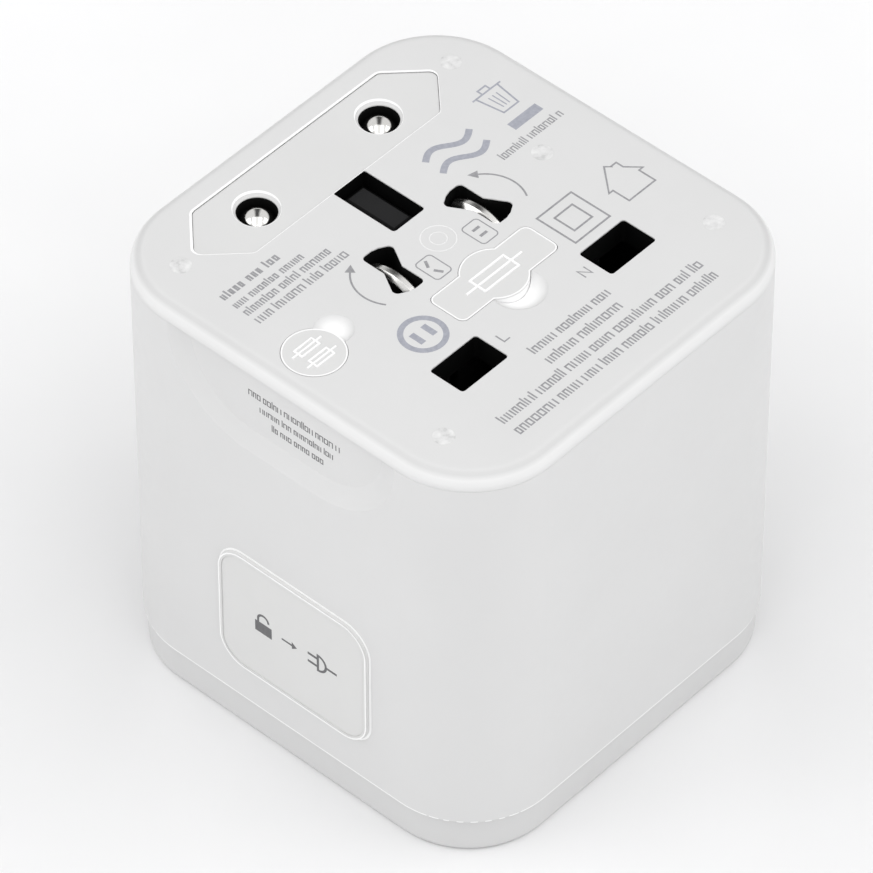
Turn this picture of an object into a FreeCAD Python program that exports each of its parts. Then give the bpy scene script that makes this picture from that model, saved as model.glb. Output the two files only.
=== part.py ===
"""Universal travel adapter: a rounded square block that stands on its socket face.

Row frame in millimetres: origin at the middle of the socket face, +Z up to the plug face,
+X towards the neutral side, +Y towards the round-pin plug. Every size is a cell of the
"sizes" sheet, and each sub-part is bound to those cells by expressions.
"""

import FreeCAD, Part
import os
import re
from math import cos, radians, sin

import Sketcher

SIZES = {
    # outer case
    "body_width": 51.0, "body_depth": 52.6, "body_height": 55.0, "corner_radius": 10.4,
    "wall": 2.0, "cover_band": 1.8, "cover_plate": 2.0, "top_edge_radius": 1.6, "seam_break": 0.12,
    "base_band": 4.8, "base_inset": 0.45, "base_edge_radius": 0.6, "base_plate": 2.0,
    "lip_height": 2.6, "lip_wall": 1.2, "lip_gap": 0.1, "slide_gap": 0.2, "fit_gap": 0.08,
    # grip recess high on the lock side
    "grip_half_width": 15.2, "grip_height": 11.0, "grip_depth": 0.9, "grip_slope": 2.3,
    "grip_corner": 10.5,
    # posts, columns and their screws
    "post_side_gap": 3.35, "post_rear_gap": 5.9, "post_front_gap": 7.3, "middle_post_x": 16.3,
    "middle_post_y": 2.5, "boss_radius": 2.2, "boss_length": 12.0, "column_radius": 2.6,
    "screw_radius": 1.0, "screw_head_radius": 1.8, "screw_head_height": 1.3, "screw_bite": 8.0,
    "base_pin_height": 6.0, "column_gap": 0.1,
    # black guide plate under the plug face
    "guide_plate": 1.0, "face_skin": 0.15, "collar_wall": 0.8, "curtain_x": 16.6,
    "curtain_height": 22.0, "stop_gap": 0.2,
    # three-pin plug
    "line_x": 11.1, "line_y": 12.15, "earth_y": 10.05, "line_width": 6.35, "line_thick": 4.0,
    "line_length": 17.7, "earth_width": 4.0, "earth_thick": 8.0, "earth_length": 24.2,
    "pin_hole_gap": 0.22, "hole_corner": 0.4, "uk_travel": 25.2, "uk_carriage_height": 3.4,
    "pin_sleeve": 9.5, "pin_sleeve_wall": 0.5, "pin_root": 2.4, "tip_chamfer": 0.9,
    "uk_bar_left": 16.0, "uk_bar_right": 16.2, "uk_side_bar": 4.5, "uk_front_bar": 2.55,
    "uk_rear_bar": 3.0,
    # two-blade plug
    "blade_x": 6.35, "blade_y": 2.3, "blade_width": 6.3, "blade_thick": 1.5, "blade_tip_radius": 5.4,
    "blade_bevel": 0.45, "blade_turn": 30.0, "blade_drop": 0.4, "blade_slot_gap": 0.28,
    "slot_corner": 0.6,
    "rotor_radius": 3.7, "rotor_height": 3.6, "rotor_gap": 0.05, "us_travel": 17.5,
    "us_carriage_height": 5.0, "us_cap": 1.0, "us_side_wall": 0.35, "arm_thick": 1.6,
    # round-pin plug and its hexagonal block
    "block_y": 18.5, "block_post_gap": 2.05, "block_thick": 8.6, "block_height": 20.0,
    "block_drop": 0.1, "block_corner": 0.9, "block_travel": 16.0, "block_lug": 0.85,
    "round_x": 9.1, "round_y": 18.3, "round_radius": 2.0,
    "round_length": 19.0, "round_drop": 0.3, "round_sleeve": 10.0, "round_core": 1.4,
    "round_sleeve_radius": 1.9, "liner_radius": 2.45, "liner_drop": 0.4, "liner_lip": 0.28,
    "eu_carriage_height": 5.0, "eu_half_width": 12.0,
    # slider knobs in their tracks
    "knob_length": 7.0, "knob_width": 8.0, "knob_thick": 1.3, "knob_corner": 1.2, "track_depth": 1.0,
    "track_gap": 0.4, "rib_thick": 0.7, "rib_rise": 0.35, "rib_pitch": 1.7,
    # unlock button, latch and springs
    "button_y": 1.4, "button_z": 18.1, "button_width": 20.5, "button_height": 16.6,
    "button_corner": 3.3, "button_rise": 0.4, "button_edge": 0.35, "button_flange": 0.8,
    "button_flange_thick": 0.8, "button_rim": 0.5, "button_dish": 0.1,
    "latch_plate": 1.0, "spring_radius": 2.0, "spring_wire": 0.45,
    # fuses, covers and clips
    "fuse_y": 5.55, "fuse_radius": 2.6, "fuse_tube_step": 0.15, "fuse_length": 20.0,
    "fuse_cap_length": 5.0, "fuse_bore_gap": 0.25, "holder_wall": 0.75, "clip_wall": 0.2,
    "strap_near": 1.4, "strap_far": 3.4,
    "cap_disc_radius": 3.6, "cap_half_width": 7.3, "cap_half_depth": 2.4, "cap_corner": 0.9,
    "cap_thick": 1.2, "cap_edge": 0.12, "cap_stem": 2.2, "spare_gap": 3.3, "spare_y": 0.2,
    "spare_disc_radius": 3.35, "scoop_radius": 4.5, "scoop_mouth": 2.95, "scoop_y": 8.8,
    "spare_scoop_radius": 3.2, "spare_scoop_mouth": 2.1, "spare_scoop_reach": 3.7,
    "spare_scoop_y": 1.0,
    # universal socket, its shutter and contacts
    "socket_width": 9.3, "socket_centre_x": 9.95, "socket_thick": 4.7, "socket_blade_x": 6.35,
    "socket_blade_width": 7.0, "socket_blade_thick": 1.9, "well_margin": 1.4, "shutter_thick": 1.4,
    "shutter_gap": 0.2, "shutter_depth": 7.7, "shutter_half_width": 15.3,
    "tongue_half_width": 1.9, "ramp_height": 7.7, "shutter_spring_radius": 1.4,
    "contact_wall": 0.5, "contact_grip": 2.1, "contact_low": 7.4, "contact_high": 19.0,
    "carrier_wall": 0.9, "carrier_low": 6.8, "strip": 0.4,
    # inner chassis
    "chassis_level": 21.0, "chassis_plate": 1.8, "chassis_gap": 0.3, "guide_wall": 0.5,
}

WORD = re.compile(r"[a-z][a-z0-9_]*")

doc = FreeCAD.newDocument("travel_adapter")
sheet = doc.addObject("Spreadsheet::Sheet", "sizes")
for row, (alias, value) in enumerate(SIZES.items(), start=1):
    sheet.set(f"A{row}", alias)
    sheet.set(f"B{row}", str(value))
    sheet.setAlias(f"B{row}", alias)
doc.recompute()

# Levels that several pieces share, as expressions of the sheet's cells.
FACE = "body_height"
SEAM = "(body_height - cover_band)"
PLATE_UNDER = "(body_height - cover_plate)"
GUIDE_UNDER = f"({PLATE_UNDER} - guide_plate)"
STOP = f"({GUIDE_UNDER} - stop_gap)"
INNER_X = "(body_width / 2 - wall)"
INNER_Y = "(body_depth / 2 - wall)"
CHASSIS_TOP = "(chassis_level + chassis_plate)"
UK_TOP = f"({STOP} - uk_travel)"
UK_LOW = f"({UK_TOP} - uk_carriage_height)"
US_TOP = f"({STOP} - us_travel)"
US_CAP_LOW = f"({US_TOP} - us_cap)"
US_LOW = f"({US_CAP_LOW} - us_carriage_height)"
BLOCK_TOP = f"({FACE} - block_drop)"
BLOCK_LOW = f"({BLOCK_TOP} - block_height)"
EU_TRAVEL = "(block_travel + round_length + round_drop)"
EU_TOP = f"({BLOCK_LOW} - round_length - round_drop - stop_gap)"
EU_LOW = f"({EU_TOP} - eu_carriage_height)"
POST_X = f"({INNER_X} - post_side_gap)"
BLOCK_TIP = f"({POST_X} - block_post_gap)"
POST_REAR = f"({INNER_Y} - post_rear_gap)"
POST_FRONT = f"(post_front_gap - {INNER_Y})"
POSTS = {
    "rear_left": (f"-{POST_X}", POST_REAR),
    "rear_right": (POST_X, POST_REAR),
    "front_left": (f"-{POST_X}", POST_FRONT),
    "front_right": (POST_X, POST_FRONT),
}
MIDDLE_POST = ("middle_post_x", "middle_post_y")
SIDES = {"l": "-1", "n": "1"}


# ---------------------------------------------------------------- building blocks
def in_sheet(text):
    """An expression with each sheet cell's alias written as sizes.alias."""
    return WORD.sub(lambda word: "sizes." + word[0] if word[0] in SIZES else word[0], str(text))


def bind(thing, prop, text):
    thing.setExpression(prop, in_sheet(text))


def place(thing, x="0", y="0", z="0"):
    bind(thing, "Placement.Base.x", x)
    bind(thing, "Placement.Base.y", y)
    bind(thing, "Placement.Base.z", z)
    return thing


def box(name, x, y, z):
    """A box from low to high along each axis."""
    solid = doc.addObject("Part::Box", name)
    for size, (low, high) in zip(("Length", "Width", "Height"), (x, y, z)):
        bind(solid, size, f"({high}) - ({low})")
    return place(solid, x[0], y[0], z[0])


def block(name, centre, size, z):
    """A box centred on (x, y), of the given width and depth, between two heights."""
    (x, y), (width, depth) = centre, size
    half_x = f"({width}) / 2"
    half_y = f"({depth}) / 2"
    return box(name, (f"{x} - {half_x}", f"{x} + {half_x}"), (f"{y} - {half_y}", f"{y} + {half_y}"), z)


def rod(name, radius, centre, z):
    """An upright cylinder between two heights."""
    solid = doc.addObject("Part::Cylinder", name)
    bind(solid, "Radius", radius)
    bind(solid, "Height", f"({z[1]}) - ({z[0]})")
    return place(solid, centre[0], centre[1], z[0])


def ball(name, radius, centre, z):
    solid = doc.addObject("Part::Sphere", name)
    bind(solid, "Radius", radius)
    return place(solid, centre[0], centre[1], z)


def union(name, parts):
    if len(parts) == 1:
        parts[0].Label = name
        return parts[0]
    solid = doc.addObject("Part::MultiFuse", name)
    solid.Shapes = parts
    solid.Refine = True
    return solid


def cut(name, base, tools):
    solid = doc.addObject("Part::Cut", name)
    solid.Base = base
    solid.Tool = tools[0] if len(tools) == 1 else union(name + "_tools", tools)
    solid.Refine = True
    return solid


def common(name, one, other):
    solid = doc.addObject("Part::Common", name)
    solid.Base = one
    solid.Tool = other
    return solid


def group(name, parts):
    """Separate like solids that share one node."""
    solid = doc.addObject("Part::Compound", name)
    solid.Links = parts
    return solid


def upright(edge):
    ends = edge.Vertexes
    return len(ends) == 2 and abs(ends[0].X - ends[1].X) + abs(ends[0].Y - ends[1].Y) < 1e-6


def at_height(edge, height):
    return all(abs(point.Z - height) < 1e-6 for point in edge.Vertexes)


FACINGS = {
    "+Z": FreeCAD.Rotation(),
    "-Z": FreeCAD.Rotation(FreeCAD.Vector(1, 0, 0), 180),
    "+X": FreeCAD.Rotation(FreeCAD.Vector(0, 1, 0), 90),
    "-X": FreeCAD.Rotation(FreeCAD.Vector(0, 1, 0), -90),
    "+Y": FreeCAD.Rotation(FreeCAD.Vector(1, 0, 0), -90),
}


def sketched(name, points, height, corner=None, rim=None, tip=None, foot=None):
    """A polygon with bound corner points, padded upwards as a body.

    corner rounds the upright edges, rim rounds the far edge, tip chamfers the far edge and
    foot chamfers the near edge by (along the face, along the pad).
    """
    body = doc.addObject("PartDesign::Body", name)
    sketch = body.newObject("Sketcher::SketchObject", name + "_outline")
    plane = next(item for item in body.Origin.OriginFeatures if item.Role == "XY_Plane")
    sketch.AttachmentSupport = [(plane, "")]
    sketch.MapMode = "FlatFace"
    count = len(points)
    first = [FreeCAD.Vector(cos(radians(360 * n / count)), sin(radians(360 * n / count)), 0)
             for n in range(count)]
    for index in range(count):
        sketch.addGeometry(Part.LineSegment(first[index], first[(index + 1) % count]), False)
    for index in range(count):
        sketch.addConstraint(Sketcher.Constraint("Coincident", index, 2, (index + 1) % count, 1))
    cells = []
    for index, spot in enumerate(points):
        for kind, start, text in zip(("DistanceX", "DistanceY"), (first[index].x, first[index].y), spot):
            number = sketch.addConstraint(Sketcher.Constraint(kind, -1, 1, index, 1, start))
            cells.append((number, text))
    for number, text in cells:
        bind(sketch, f"Constraints[{number}]", text)
    pad = body.newObject("PartDesign::Pad", name + "_pad")
    pad.Profile = sketch
    bind(pad, "Length", height)
    sketch.Visibility = False
    doc.recompute()
    last = pad
    far = pad.Length.Value
    if corner is not None:
        last = dress(body, last, "Fillet", {"Radius": corner}, upright)
    if rim is not None:
        last = dress(body, last, "Fillet", {"Radius": rim}, lambda edge: at_height(edge, far))
    if tip is not None:
        last = dress(body, last, "Chamfer", {"Size": tip}, lambda edge: at_height(edge, far))
    if foot is not None:
        sizes = {"Size": foot[0], "Size2": foot[1]}
        feature = dress(body, last, "Chamfer", sizes, lambda edge: at_height(edge, 0.0))
        slope = feature.getPropertyByName("Size").Value
        floor = [face for face in feature.Shape.Faces if abs(face.BoundBox.ZMax) < 1e-6][0]
        if abs(floor.BoundBox.XLength - last.Shape.BoundBox.XLength + 2 * slope) > 1e-3:
            feature.FlipDirection = True
            doc.recompute()
    return body


def dress(body, base, kind, sizes, chosen):
    """Round or chamfer the chosen edges of a body's last feature."""
    feature = body.newObject("PartDesign::" + kind, f"{base.Name}_{kind}")
    names = [f"Edge{n}" for n, edge in enumerate(base.Shape.Edges, start=1) if chosen(edge)]
    feature.Base = (base, names)
    if len(sizes) == 2:
        feature.ChamferType = "Two distances"
    for prop, text in sizes.items():
        bind(feature, prop, text)
    doc.recompute()
    return feature


def rounded(name, size, height, corner=None, centre=("0", "0", "0"), facing="+Z", **dressing):
    """A rectangle padded outwards from centre in the way it faces, dressed as in sketched()."""
    across, along = (f"({item}) / 2" for item in size)
    points = [(f"-{across}", f"-{along}"), (across, f"-{along}"), (across, along), (f"-{across}", along)]
    body = sketched(name, points, height, corner, **dressing)
    body.Placement = FreeCAD.Placement(FreeCAD.Vector(), FACINGS[facing])
    return place(body, *centre)


def peg(name, centre, size, z, **dressing):
    """A rectangular upright between two heights, dressed as in sketched()."""
    return rounded(name, size, f"({z[1]}) - ({z[0]})", None, (centre[0], centre[1], z[0]), **dressing)


def turned(solid, angle, centre):
    """Turn a solid by a bound angle about an upright axis through centre."""
    solid.Placement = FreeCAD.Placement(FreeCAD.Vector(), FreeCAD.Rotation(FreeCAD.Vector(0, 0, 1), 0))
    bind(solid, "Placement.Rotation.Angle", f"({angle}) * 1 deg")
    return place(solid, *centre)


def flat_bar(name, centre, size, z, angle):
    """A box centred on an upright axis and turned about it."""
    solid = doc.addObject("Part::Box", name)
    bind(solid, "Length", size[0])
    bind(solid, "Width", size[1])
    bind(solid, "Height", f"({z[1]}) - ({z[0]})")
    width, depth = (f"({item}) / 2" for item in size)
    wide = f"({centre[0]}) - ({width}) * cos({angle}) + ({depth}) * sin({angle})"
    deep = f"({centre[1]}) - ({width}) * sin({angle}) - ({depth}) * cos({angle})"
    return turned(solid, angle, (wide, deep, z[0]))


# ---------------------------------------------------------------- shapes used in several pieces
def line_hole(name, side, z, extra="0"):
    size = (f"line_width + 2 * pin_hole_gap + 2 * ({extra})",
            f"line_thick + 2 * pin_hole_gap + 2 * ({extra})")
    centre = (f"{side} * line_x", "-line_y", z[0])
    return rounded(name, size, f"({z[1]}) - ({z[0]})", "hole_corner", centre)


def earth_hole(name, z, extra="0"):
    size = (f"earth_width + 3 * pin_hole_gap + 2 * ({extra})",
            f"earth_thick + 2 * pin_hole_gap + 2 * ({extra})")
    return rounded(name, size, f"({z[1]}) - ({z[0]})", "hole_corner", ("0", "earth_y", z[0]))


def bow_tie(name, side, z, extra="0"):
    """The slot that lets a blade stand upright or slanted: its section swept about the pivot."""
    centre = (f"{side} * blade_x", "blade_y", z[0])
    size = (f"blade_thick + 2 * (blade_slot_gap + {extra})", f"blade_width + 2 * (blade_slot_gap + {extra})")
    height = f"({z[1]}) - ({z[0]})"
    lobes = []
    for part, angle in (("upright", "0"), ("slanted", f"{side} * blade_turn")):
        lobe = rounded(f"{name}_{part}", size, height, f"slot_corner + {extra}")
        lobes.append(turned(lobe, angle, centre))
    for part, start in (("top", "90"), ("foot", "270")):
        sector = doc.addObject("Part::Cylinder", f"{name}_{part}")
        bind(sector, "Radius", f"blade_width / 2 + blade_slot_gap + {extra}")
        bind(sector, "Angle", "blade_turn")
        bind(sector, "Height", height)
        first = f"{start} - blade_turn / 2 + {side} * blade_turn / 2"
        lobes.append(turned(sector, first, centre))
    return union(name, lobes)


def hexagon(name, z, grow="0"):
    """The flat six-sided outline with 45-degree ends and rounded corners."""
    half = f"(block_thick / 2 + {grow})"
    tip = f"({BLOCK_TIP} + ({grow}) * 1.4142)"
    shoulder = f"({tip} - {half})"
    points = [(tip, "0"), (shoulder, half), (f"-{shoulder}", half), (f"-{tip}", "0"),
              (f"-{shoulder}", f"-{half}"),
              (shoulder, f"-{half}")]
    return place(sketched(name, points, f"({z[1]}) - ({z[0]})", "block_corner"), "0", "block_y", z[0])


def fuse_cap_outline(name, z, grow="0"):
    size = (f"2 * cap_half_width + 2 * ({grow})", f"2 * cap_half_depth + 2 * ({grow})")
    height = f"({z[1]}) - ({z[0]})"
    wings = rounded(name + "_wings", size, height, "cap_corner", ("0", "-fuse_y", z[0]))
    disc = rod(name + "_disc", f"cap_disc_radius + {grow}", ("0", "-fuse_y"), z)
    return union(name, [wings, disc])


def bevelled_disc(name, radius, centre, z):
    """A disc whose top edge is bevelled by cap_edge."""
    low = f"({z[1]} - cap_edge)"
    cone = doc.addObject("Part::Cone", name + "_bevel")
    bind(cone, "Radius1", radius)
    bind(cone, "Radius2", f"{radius} - cap_edge")
    bind(cone, "Height", "cap_edge")
    place(cone, centre[0], centre[1], low)
    return [rod(name + "_disc", radius, centre, (z[0], low)), cone]


def shell_outline(name, inset, z, rim=None):
    size = (f"body_width - 2 * ({inset})", f"body_depth - 2 * ({inset})")
    return rounded(name, size, f"({z[1]}) - ({z[0]})", f"corner_radius - ({inset})", ("0", "0", z[0]),
                   rim=rim)


CARRIER_SIDE = "(socket_centre_x + socket_width / 2 + carrier_wall)"
SPARE_X = f"({INNER_X} - spare_gap)"
SPARE = (f"-{SPARE_X}", "spare_y")
MAIN = ("0", "-fuse_y")
FUSE_LOW = f"({PLATE_UNDER} - 1.6 - fuse_length)"
FUSE_HIGH = f"({FUSE_LOW} + fuse_length)"
HOLDER_LOW = f"({FUSE_LOW} - 0.4)"
CAP_LOW = f"({FACE} - cap_thick)"
BORE = "(fuse_radius + fuse_bore_gap)"
HOLDER = f"({BORE} + holder_wall)"
SPARE_HOLDER = f"({BORE} + holder_wall / 2 - 0.05)"
TAB_LOW = f"({FUSE_HIGH} - 4.2)"
TAB_HIGH = f"({FUSE_HIGH} - 1.2)"


# ---------------------------------------------------------------- outer case
def plug_face_cover():
    """Moulded lid with the plug holes, screw bosses and both fuse holders."""
    lid = shell_outline("lid", "0", (SEAM, FACE), rim="min(top_edge_radius; cover_band - 0.1)")
    skirt = shell_outline("lid_skirt", "wall + lip_gap", (f"{SEAM} - lip_height", SEAM))
    hollow = shell_outline("lid_hollow", "wall + lip_gap + lip_wall",
                           (f"{SEAM} - lip_height - 1", PLATE_UNDER))
    bosses = [rod(f"boss_{name}", "boss_radius", spot, (f"{PLATE_UNDER} - boss_length", PLATE_UNDER))
              for name, spot in {**POSTS, "middle": MIDDLE_POST}.items()]
    main = rod("main_holder", HOLDER, MAIN, (HOLDER_LOW, PLATE_UNDER))
    spare = rod("spare_holder", SPARE_HOLDER, SPARE, (HOLDER_LOW, PLATE_UNDER))
    shell = union("lid_solid",
                  [cut("lid_shell", union("lid_blank", [lid, skirt]), [hollow]), main, spare, *bosses])
    skin = (f"{FACE} - face_skin", f"{FACE} + 1")
    pocket = (f"{PLATE_UNDER} - 1", f"{FACE} - face_skin")
    wide = "collar_wall"
    holes = [earth_hole("earth_skin_hole", skin), earth_hole("earth_pocket", pocket, wide)]
    for name, side in SIDES.items():
        holes.append(line_hole(f"line_skin_{name}", side, skin))
        holes.append(line_hole(f"line_pocket_{name}", side, pocket, wide))
        holes.append(bow_tie(f"blade_skin_{name}", side, skin))
        holes.append(bow_tie(f"blade_pocket_{name}", side, pocket, wide))
    holes.append(hexagon("hexagon_hole", (f"{PLATE_UNDER} - 1", f"{FACE} + 1"), "fit_gap"))
    holes.append(fuse_cap_outline("fuse_cap_seat", (CAP_LOW, f"{FACE} + 1"), "fit_gap / 2"))
    holes.append(rod("spare_cap_seat", "spare_disc_radius + fit_gap / 2", SPARE, (CAP_LOW, f"{FACE} + 1")))
    holes.append(rod("main_bore", BORE, MAIN, (f"{HOLDER_LOW} - 1", f"{FACE} + 1")))
    holes.append(rod("spare_bore", BORE, SPARE, (FUSE_LOW, f"{FACE} + 1")))
    rise = "sqrt(scoop_radius ^ 2 - scoop_mouth ^ 2)"
    holes.append(ball("fuse_scoop", "scoop_radius", ("0", "-scoop_y"), f"{FACE} + {rise}"))
    rise = "sqrt(spare_scoop_radius ^ 2 - spare_scoop_mouth ^ 2)"
    scoop = (f"spare_scoop_reach - {SPARE_X}", "spare_scoop_y")
    holes.append(ball("spare_scoop", "spare_scoop_radius", scoop, f"{FACE} + {rise}"))
    tab = (f"-({HOLDER} + 1)", "0")
    holes.append(box("tab_slot", tab, ("-fuse_y - 0.9", "-fuse_y + 0.9"),
                     (f"{TAB_LOW} - 0.2", f"{TAB_HIGH} + 0.2")))
    bites = (f"{PLATE_UNDER} - boss_length - 1", f"{PLATE_UNDER} - boss_length + screw_bite + 1")
    for name, spot in {**POSTS, "middle": MIDDLE_POST}.items():
        holes.append(rod(f"pilot_{name}", "screw_radius", spot, bites))
    notch_end = f"({BLOCK_TIP} - block_thick / 2 + slide_gap)"
    notch = (f"-{notch_end}", notch_end)
    reach = (f"{INNER_Y} - lip_gap - lip_wall - 0.3", f"{INNER_Y} + wall / 2")
    holes.append(box("skirt_gap", notch, reach, (f"{SEAM} - lip_height - 1", SEAM)))
    notch = ("-line_y - arm_thick / 2 - 0.7", "-line_y + arm_thick / 2 + 0.7")
    reach = (f"{INNER_X} - lip_gap - lip_wall - 0.3", f"{INNER_X} + wall / 2")
    holes.append(box("skirt_side_gap", reach, notch, (f"{SEAM} - lip_height - 1", SEAM)))
    return cut("plug_face_cover", shell, holes)


SLOT_HALF = "(arm_thick / 2 + slide_gap)"
CURTAIN_REACH = "(line_thick + 2)"


def pin_guide_plate():
    """Black plate whose collars line the lid's holes, and whose curtain darkens the side slot."""
    plate = shell_outline("guide_blank", "wall + lip_gap + lip_wall + slide_gap", (GUIDE_UNDER, PLATE_UNDER))
    collar = (GUIDE_UNDER, f"{FACE} - face_skin")
    wide = "collar_wall - fit_gap"
    through = (f"{GUIDE_UNDER} - 1", f"{FACE} + 1")
    parts = [plate, earth_hole("earth_collar", collar, wide)]
    for name, y in (("front", (f"-line_y - {CURTAIN_REACH}", f"-line_y - {SLOT_HALF}")),
                    ("rear", (f"-line_y + {SLOT_HALF}", f"-line_y + {CURTAIN_REACH}"))):
        x = ("curtain_x", "curtain_x + collar_wall")
        parts.append(box(f"curtain_{name}", x, y, (f"{GUIDE_UNDER} - curtain_height", PLATE_UNDER)))
    holes = [earth_hole("earth_guide", through)]
    for name, side in SIDES.items():
        parts.append(line_hole(f"line_collar_{name}", side, collar, wide))
        parts.append(bow_tie(f"blade_collar_{name}", side, collar, wide))
        holes.append(line_hole(f"line_guide_{name}", side, through))
        holes.append(bow_tie(f"blade_guide_{name}", side, through))
    for name, spot in {**POSTS, "middle": MIDDLE_POST}.items():
        holes.append(rod(f"guide_boss_{name}", "boss_radius + fit_gap", spot, through))
    holes.append(hexagon("guide_hexagon", through, "fit_gap"))
    for name, spot, radius in (("main", MAIN, HOLDER), ("spare", SPARE, SPARE_HOLDER)):
        holes.append(rod(f"guide_holder_{name}", f"{radius} + fit_gap", spot, through))
    return cut("pin_guide_plate", union("guide_solid", parts), holes)


US_FRONT = "(blade_y - rotor_radius - rotor_gap - us_side_wall)"
KNOBS = {
    # name: (side of the case, place along it, travel, knob centre at rest, arm's low and high at rest)
    "uk": ("+X", "-line_y", "uk_travel", f"({UK_LOW} + 0.3)", UK_LOW, UK_TOP),
    "us": ("+X", f"({US_FRONT} + arm_thick / 2)", "us_travel", f"({US_LOW} + 2.6)", f"({US_LOW} + 0.6)",
           f"({US_LOW} + 4.6)"),
    "eu": ("+Y", "0", EU_TRAVEL, f"({EU_LOW} + eu_carriage_height / 2)", f"({EU_LOW} + 0.5)",
           f"({EU_TOP} - 0.5)"),
}


def housing_sleeve():
    """Outer sleeve between the two covers, with the button window, grip recess and knob tracks."""
    outer = shell_outline("sleeve_outer", "0", ("base_band", SEAM), rim="seam_break")
    inner = shell_outline("sleeve_inner", "wall", ("base_band - 1", f"{SEAM} + 1"))
    tools = [inner]
    window = ("button_height + 2 * fit_gap", "button_width + 2 * fit_gap")
    spot = (f"-({INNER_X} - 1)", "-button_y", "button_z")
    tools.append(rounded("button_window", window, "wall + 2", "button_corner + fit_gap", spot, "-X"))
    grip_length = "2 * grip_height"
    floor = ("-(body_width / 2 - grip_depth)", "0", f"{SEAM}")
    tools.append(rounded("grip_tool", (grip_length, "2 * grip_half_width"), "grip_depth + 3", "grip_corner",
                         floor, "-X", foot=("grip_slope", "grip_depth")))
    for name, (facing, at, travel, centre, arm_low, arm_high) in KNOBS.items():
        middle = f"({centre} + {travel} / 2)"
        length = f"knob_length + {travel} + 2 * track_gap"
        width = "knob_width + 2 * track_gap"
        rise = (f"{arm_low} - slide_gap", f"{arm_high} + {travel} + slide_gap")
        across = (f"{at} - {SLOT_HALF}", f"{at} + {SLOT_HALF}")
        if facing == "+X":
            spot = ("body_width / 2 - track_depth", at, middle)
            tools.append(rounded(f"{name}_track", (length, width), "track_depth + 1",
                                 "knob_corner + track_gap", spot, "+X"))
            tools.append(box(f"{name}_slot", (f"{INNER_X} - 1", "body_width / 2"), across, rise))
        else:
            spot = (at, "body_depth / 2 - track_depth", middle)
            tools.append(rounded(f"{name}_track", (width, length), "track_depth + 1",
                                 "knob_corner + track_gap", spot, "+Y"))
            tools.append(box(f"{name}_slot", across, (f"{INNER_Y} - 1", "body_depth / 2"), rise))
    return cut("housing_sleeve", outer, tools)


def socket_outline(name, side, z, grow="0"):
    """One pole of the universal socket: flat pin and round pin slot, with upright and slanted blades."""
    width = f"socket_width + 2 * ({grow})"
    size = (width, f"socket_thick + 2 * ({grow})")
    height = f"({z[1]}) - ({z[0]})"
    flat = rounded(name + "_flat", size, height, "hole_corner",
                   (f"{side} * socket_centre_x", "-line_y", z[0]))
    blade = (f"socket_blade_thick + 2 * ({grow})", f"socket_blade_width + 2 * ({grow})")
    centre = (f"{side} * socket_blade_x", "-line_y")
    parts = [flat]
    for step, angle in (("upright", "0"), ("slanted", f"{side} * blade_turn")):
        parts.append(flat_bar(f"{name}_{step}", centre, blade, z, angle))
    return union(name, parts)


def socket_face_cover():
    """Base moulding with the universal socket, press pins for the columns and shutter rails."""
    base = shell_outline("base_upper", "base_inset", ("base_edge_radius", "base_band"))
    size = ("body_width - 2 * base_inset", "body_depth - 2 * base_inset")
    foot = rounded("base_foot", size, "base_edge_radius * 2", "corner_radius - base_inset",
                   ("0", "0", "base_edge_radius * 2"), "-Z", rim="base_edge_radius")
    lip = shell_outline("base_lip", "wall + lip_gap", ("base_plate", "base_band + lip_height"))
    hollow = shell_outline("base_hollow", "wall + lip_gap + lip_wall",
                           ("base_plate", "base_band + lip_height + 1"))
    wells = block("line_well", ("0", "-line_y"), ("2 * (socket_centre_x + socket_width / 2 + well_margin)",
                  "socket_blade_width + 2 * well_margin"), ("base_plate / 2", "base_band"))
    earth = block("earth_well", ("0", "earth_y"),
                  ("earth_width + 2 * well_margin + 1", "earth_thick + 2 * well_margin - 1.2"),
                  ("base_plate / 2", "base_band"))
    solids = [cut("base_shell", union("base_blank", [base, foot, lip]), [hollow]), wells, earth]
    for name, spot in POSTS.items():
        shoulder = "base_band + lip_height"
        solids.append(rod(f"base_shoulder_{name}", "column_radius", spot, ("base_plate / 2", shoulder)))
        peg = (shoulder, f"{shoulder} + base_pin_height")
        solids.append(rod(f"base_peg_{name}", "screw_head_radius", spot, peg))
    rail_x = "(shutter_half_width + shutter_gap)"
    rail_y = (f"-{INNER_Y} + lip_gap + lip_wall", "-line_y + shutter_depth / 2")
    rail_z = ("base_plate / 2", "base_band + shutter_gap + shutter_thick")
    for name, side in SIDES.items():
        low, high = (rail_x, f"{rail_x} + 1") if name == "n" else (f"-{rail_x} - 1", f"-{rail_x}")
        solids.append(box(f"shutter_rail_{name}", (low, high), rail_y, rail_z))
    through = ("-1", "base_band + 1")
    rear = "(-line_y - shutter_depth / 2)"
    way = box("shutter_way", (f"-{rail_x}", rail_x), ("-body_depth / 2 + base_inset", rear),
              ("base_band", "base_band + lip_height + 1"))
    holes = [way]
    holes += [socket_outline(f"socket_hole_{name}", side, through) for name, side in SIDES.items()]
    holes.append(earth_hole("socket_earth_hole", through))
    return cut("socket_face_cover", union("base_solid", solids), holes)


# ---------------------------------------------------------------- inner frame and fixed conductors
EU_ZONE_Y = "(block_y - block_thick / 2 - 0.8)"


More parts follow.
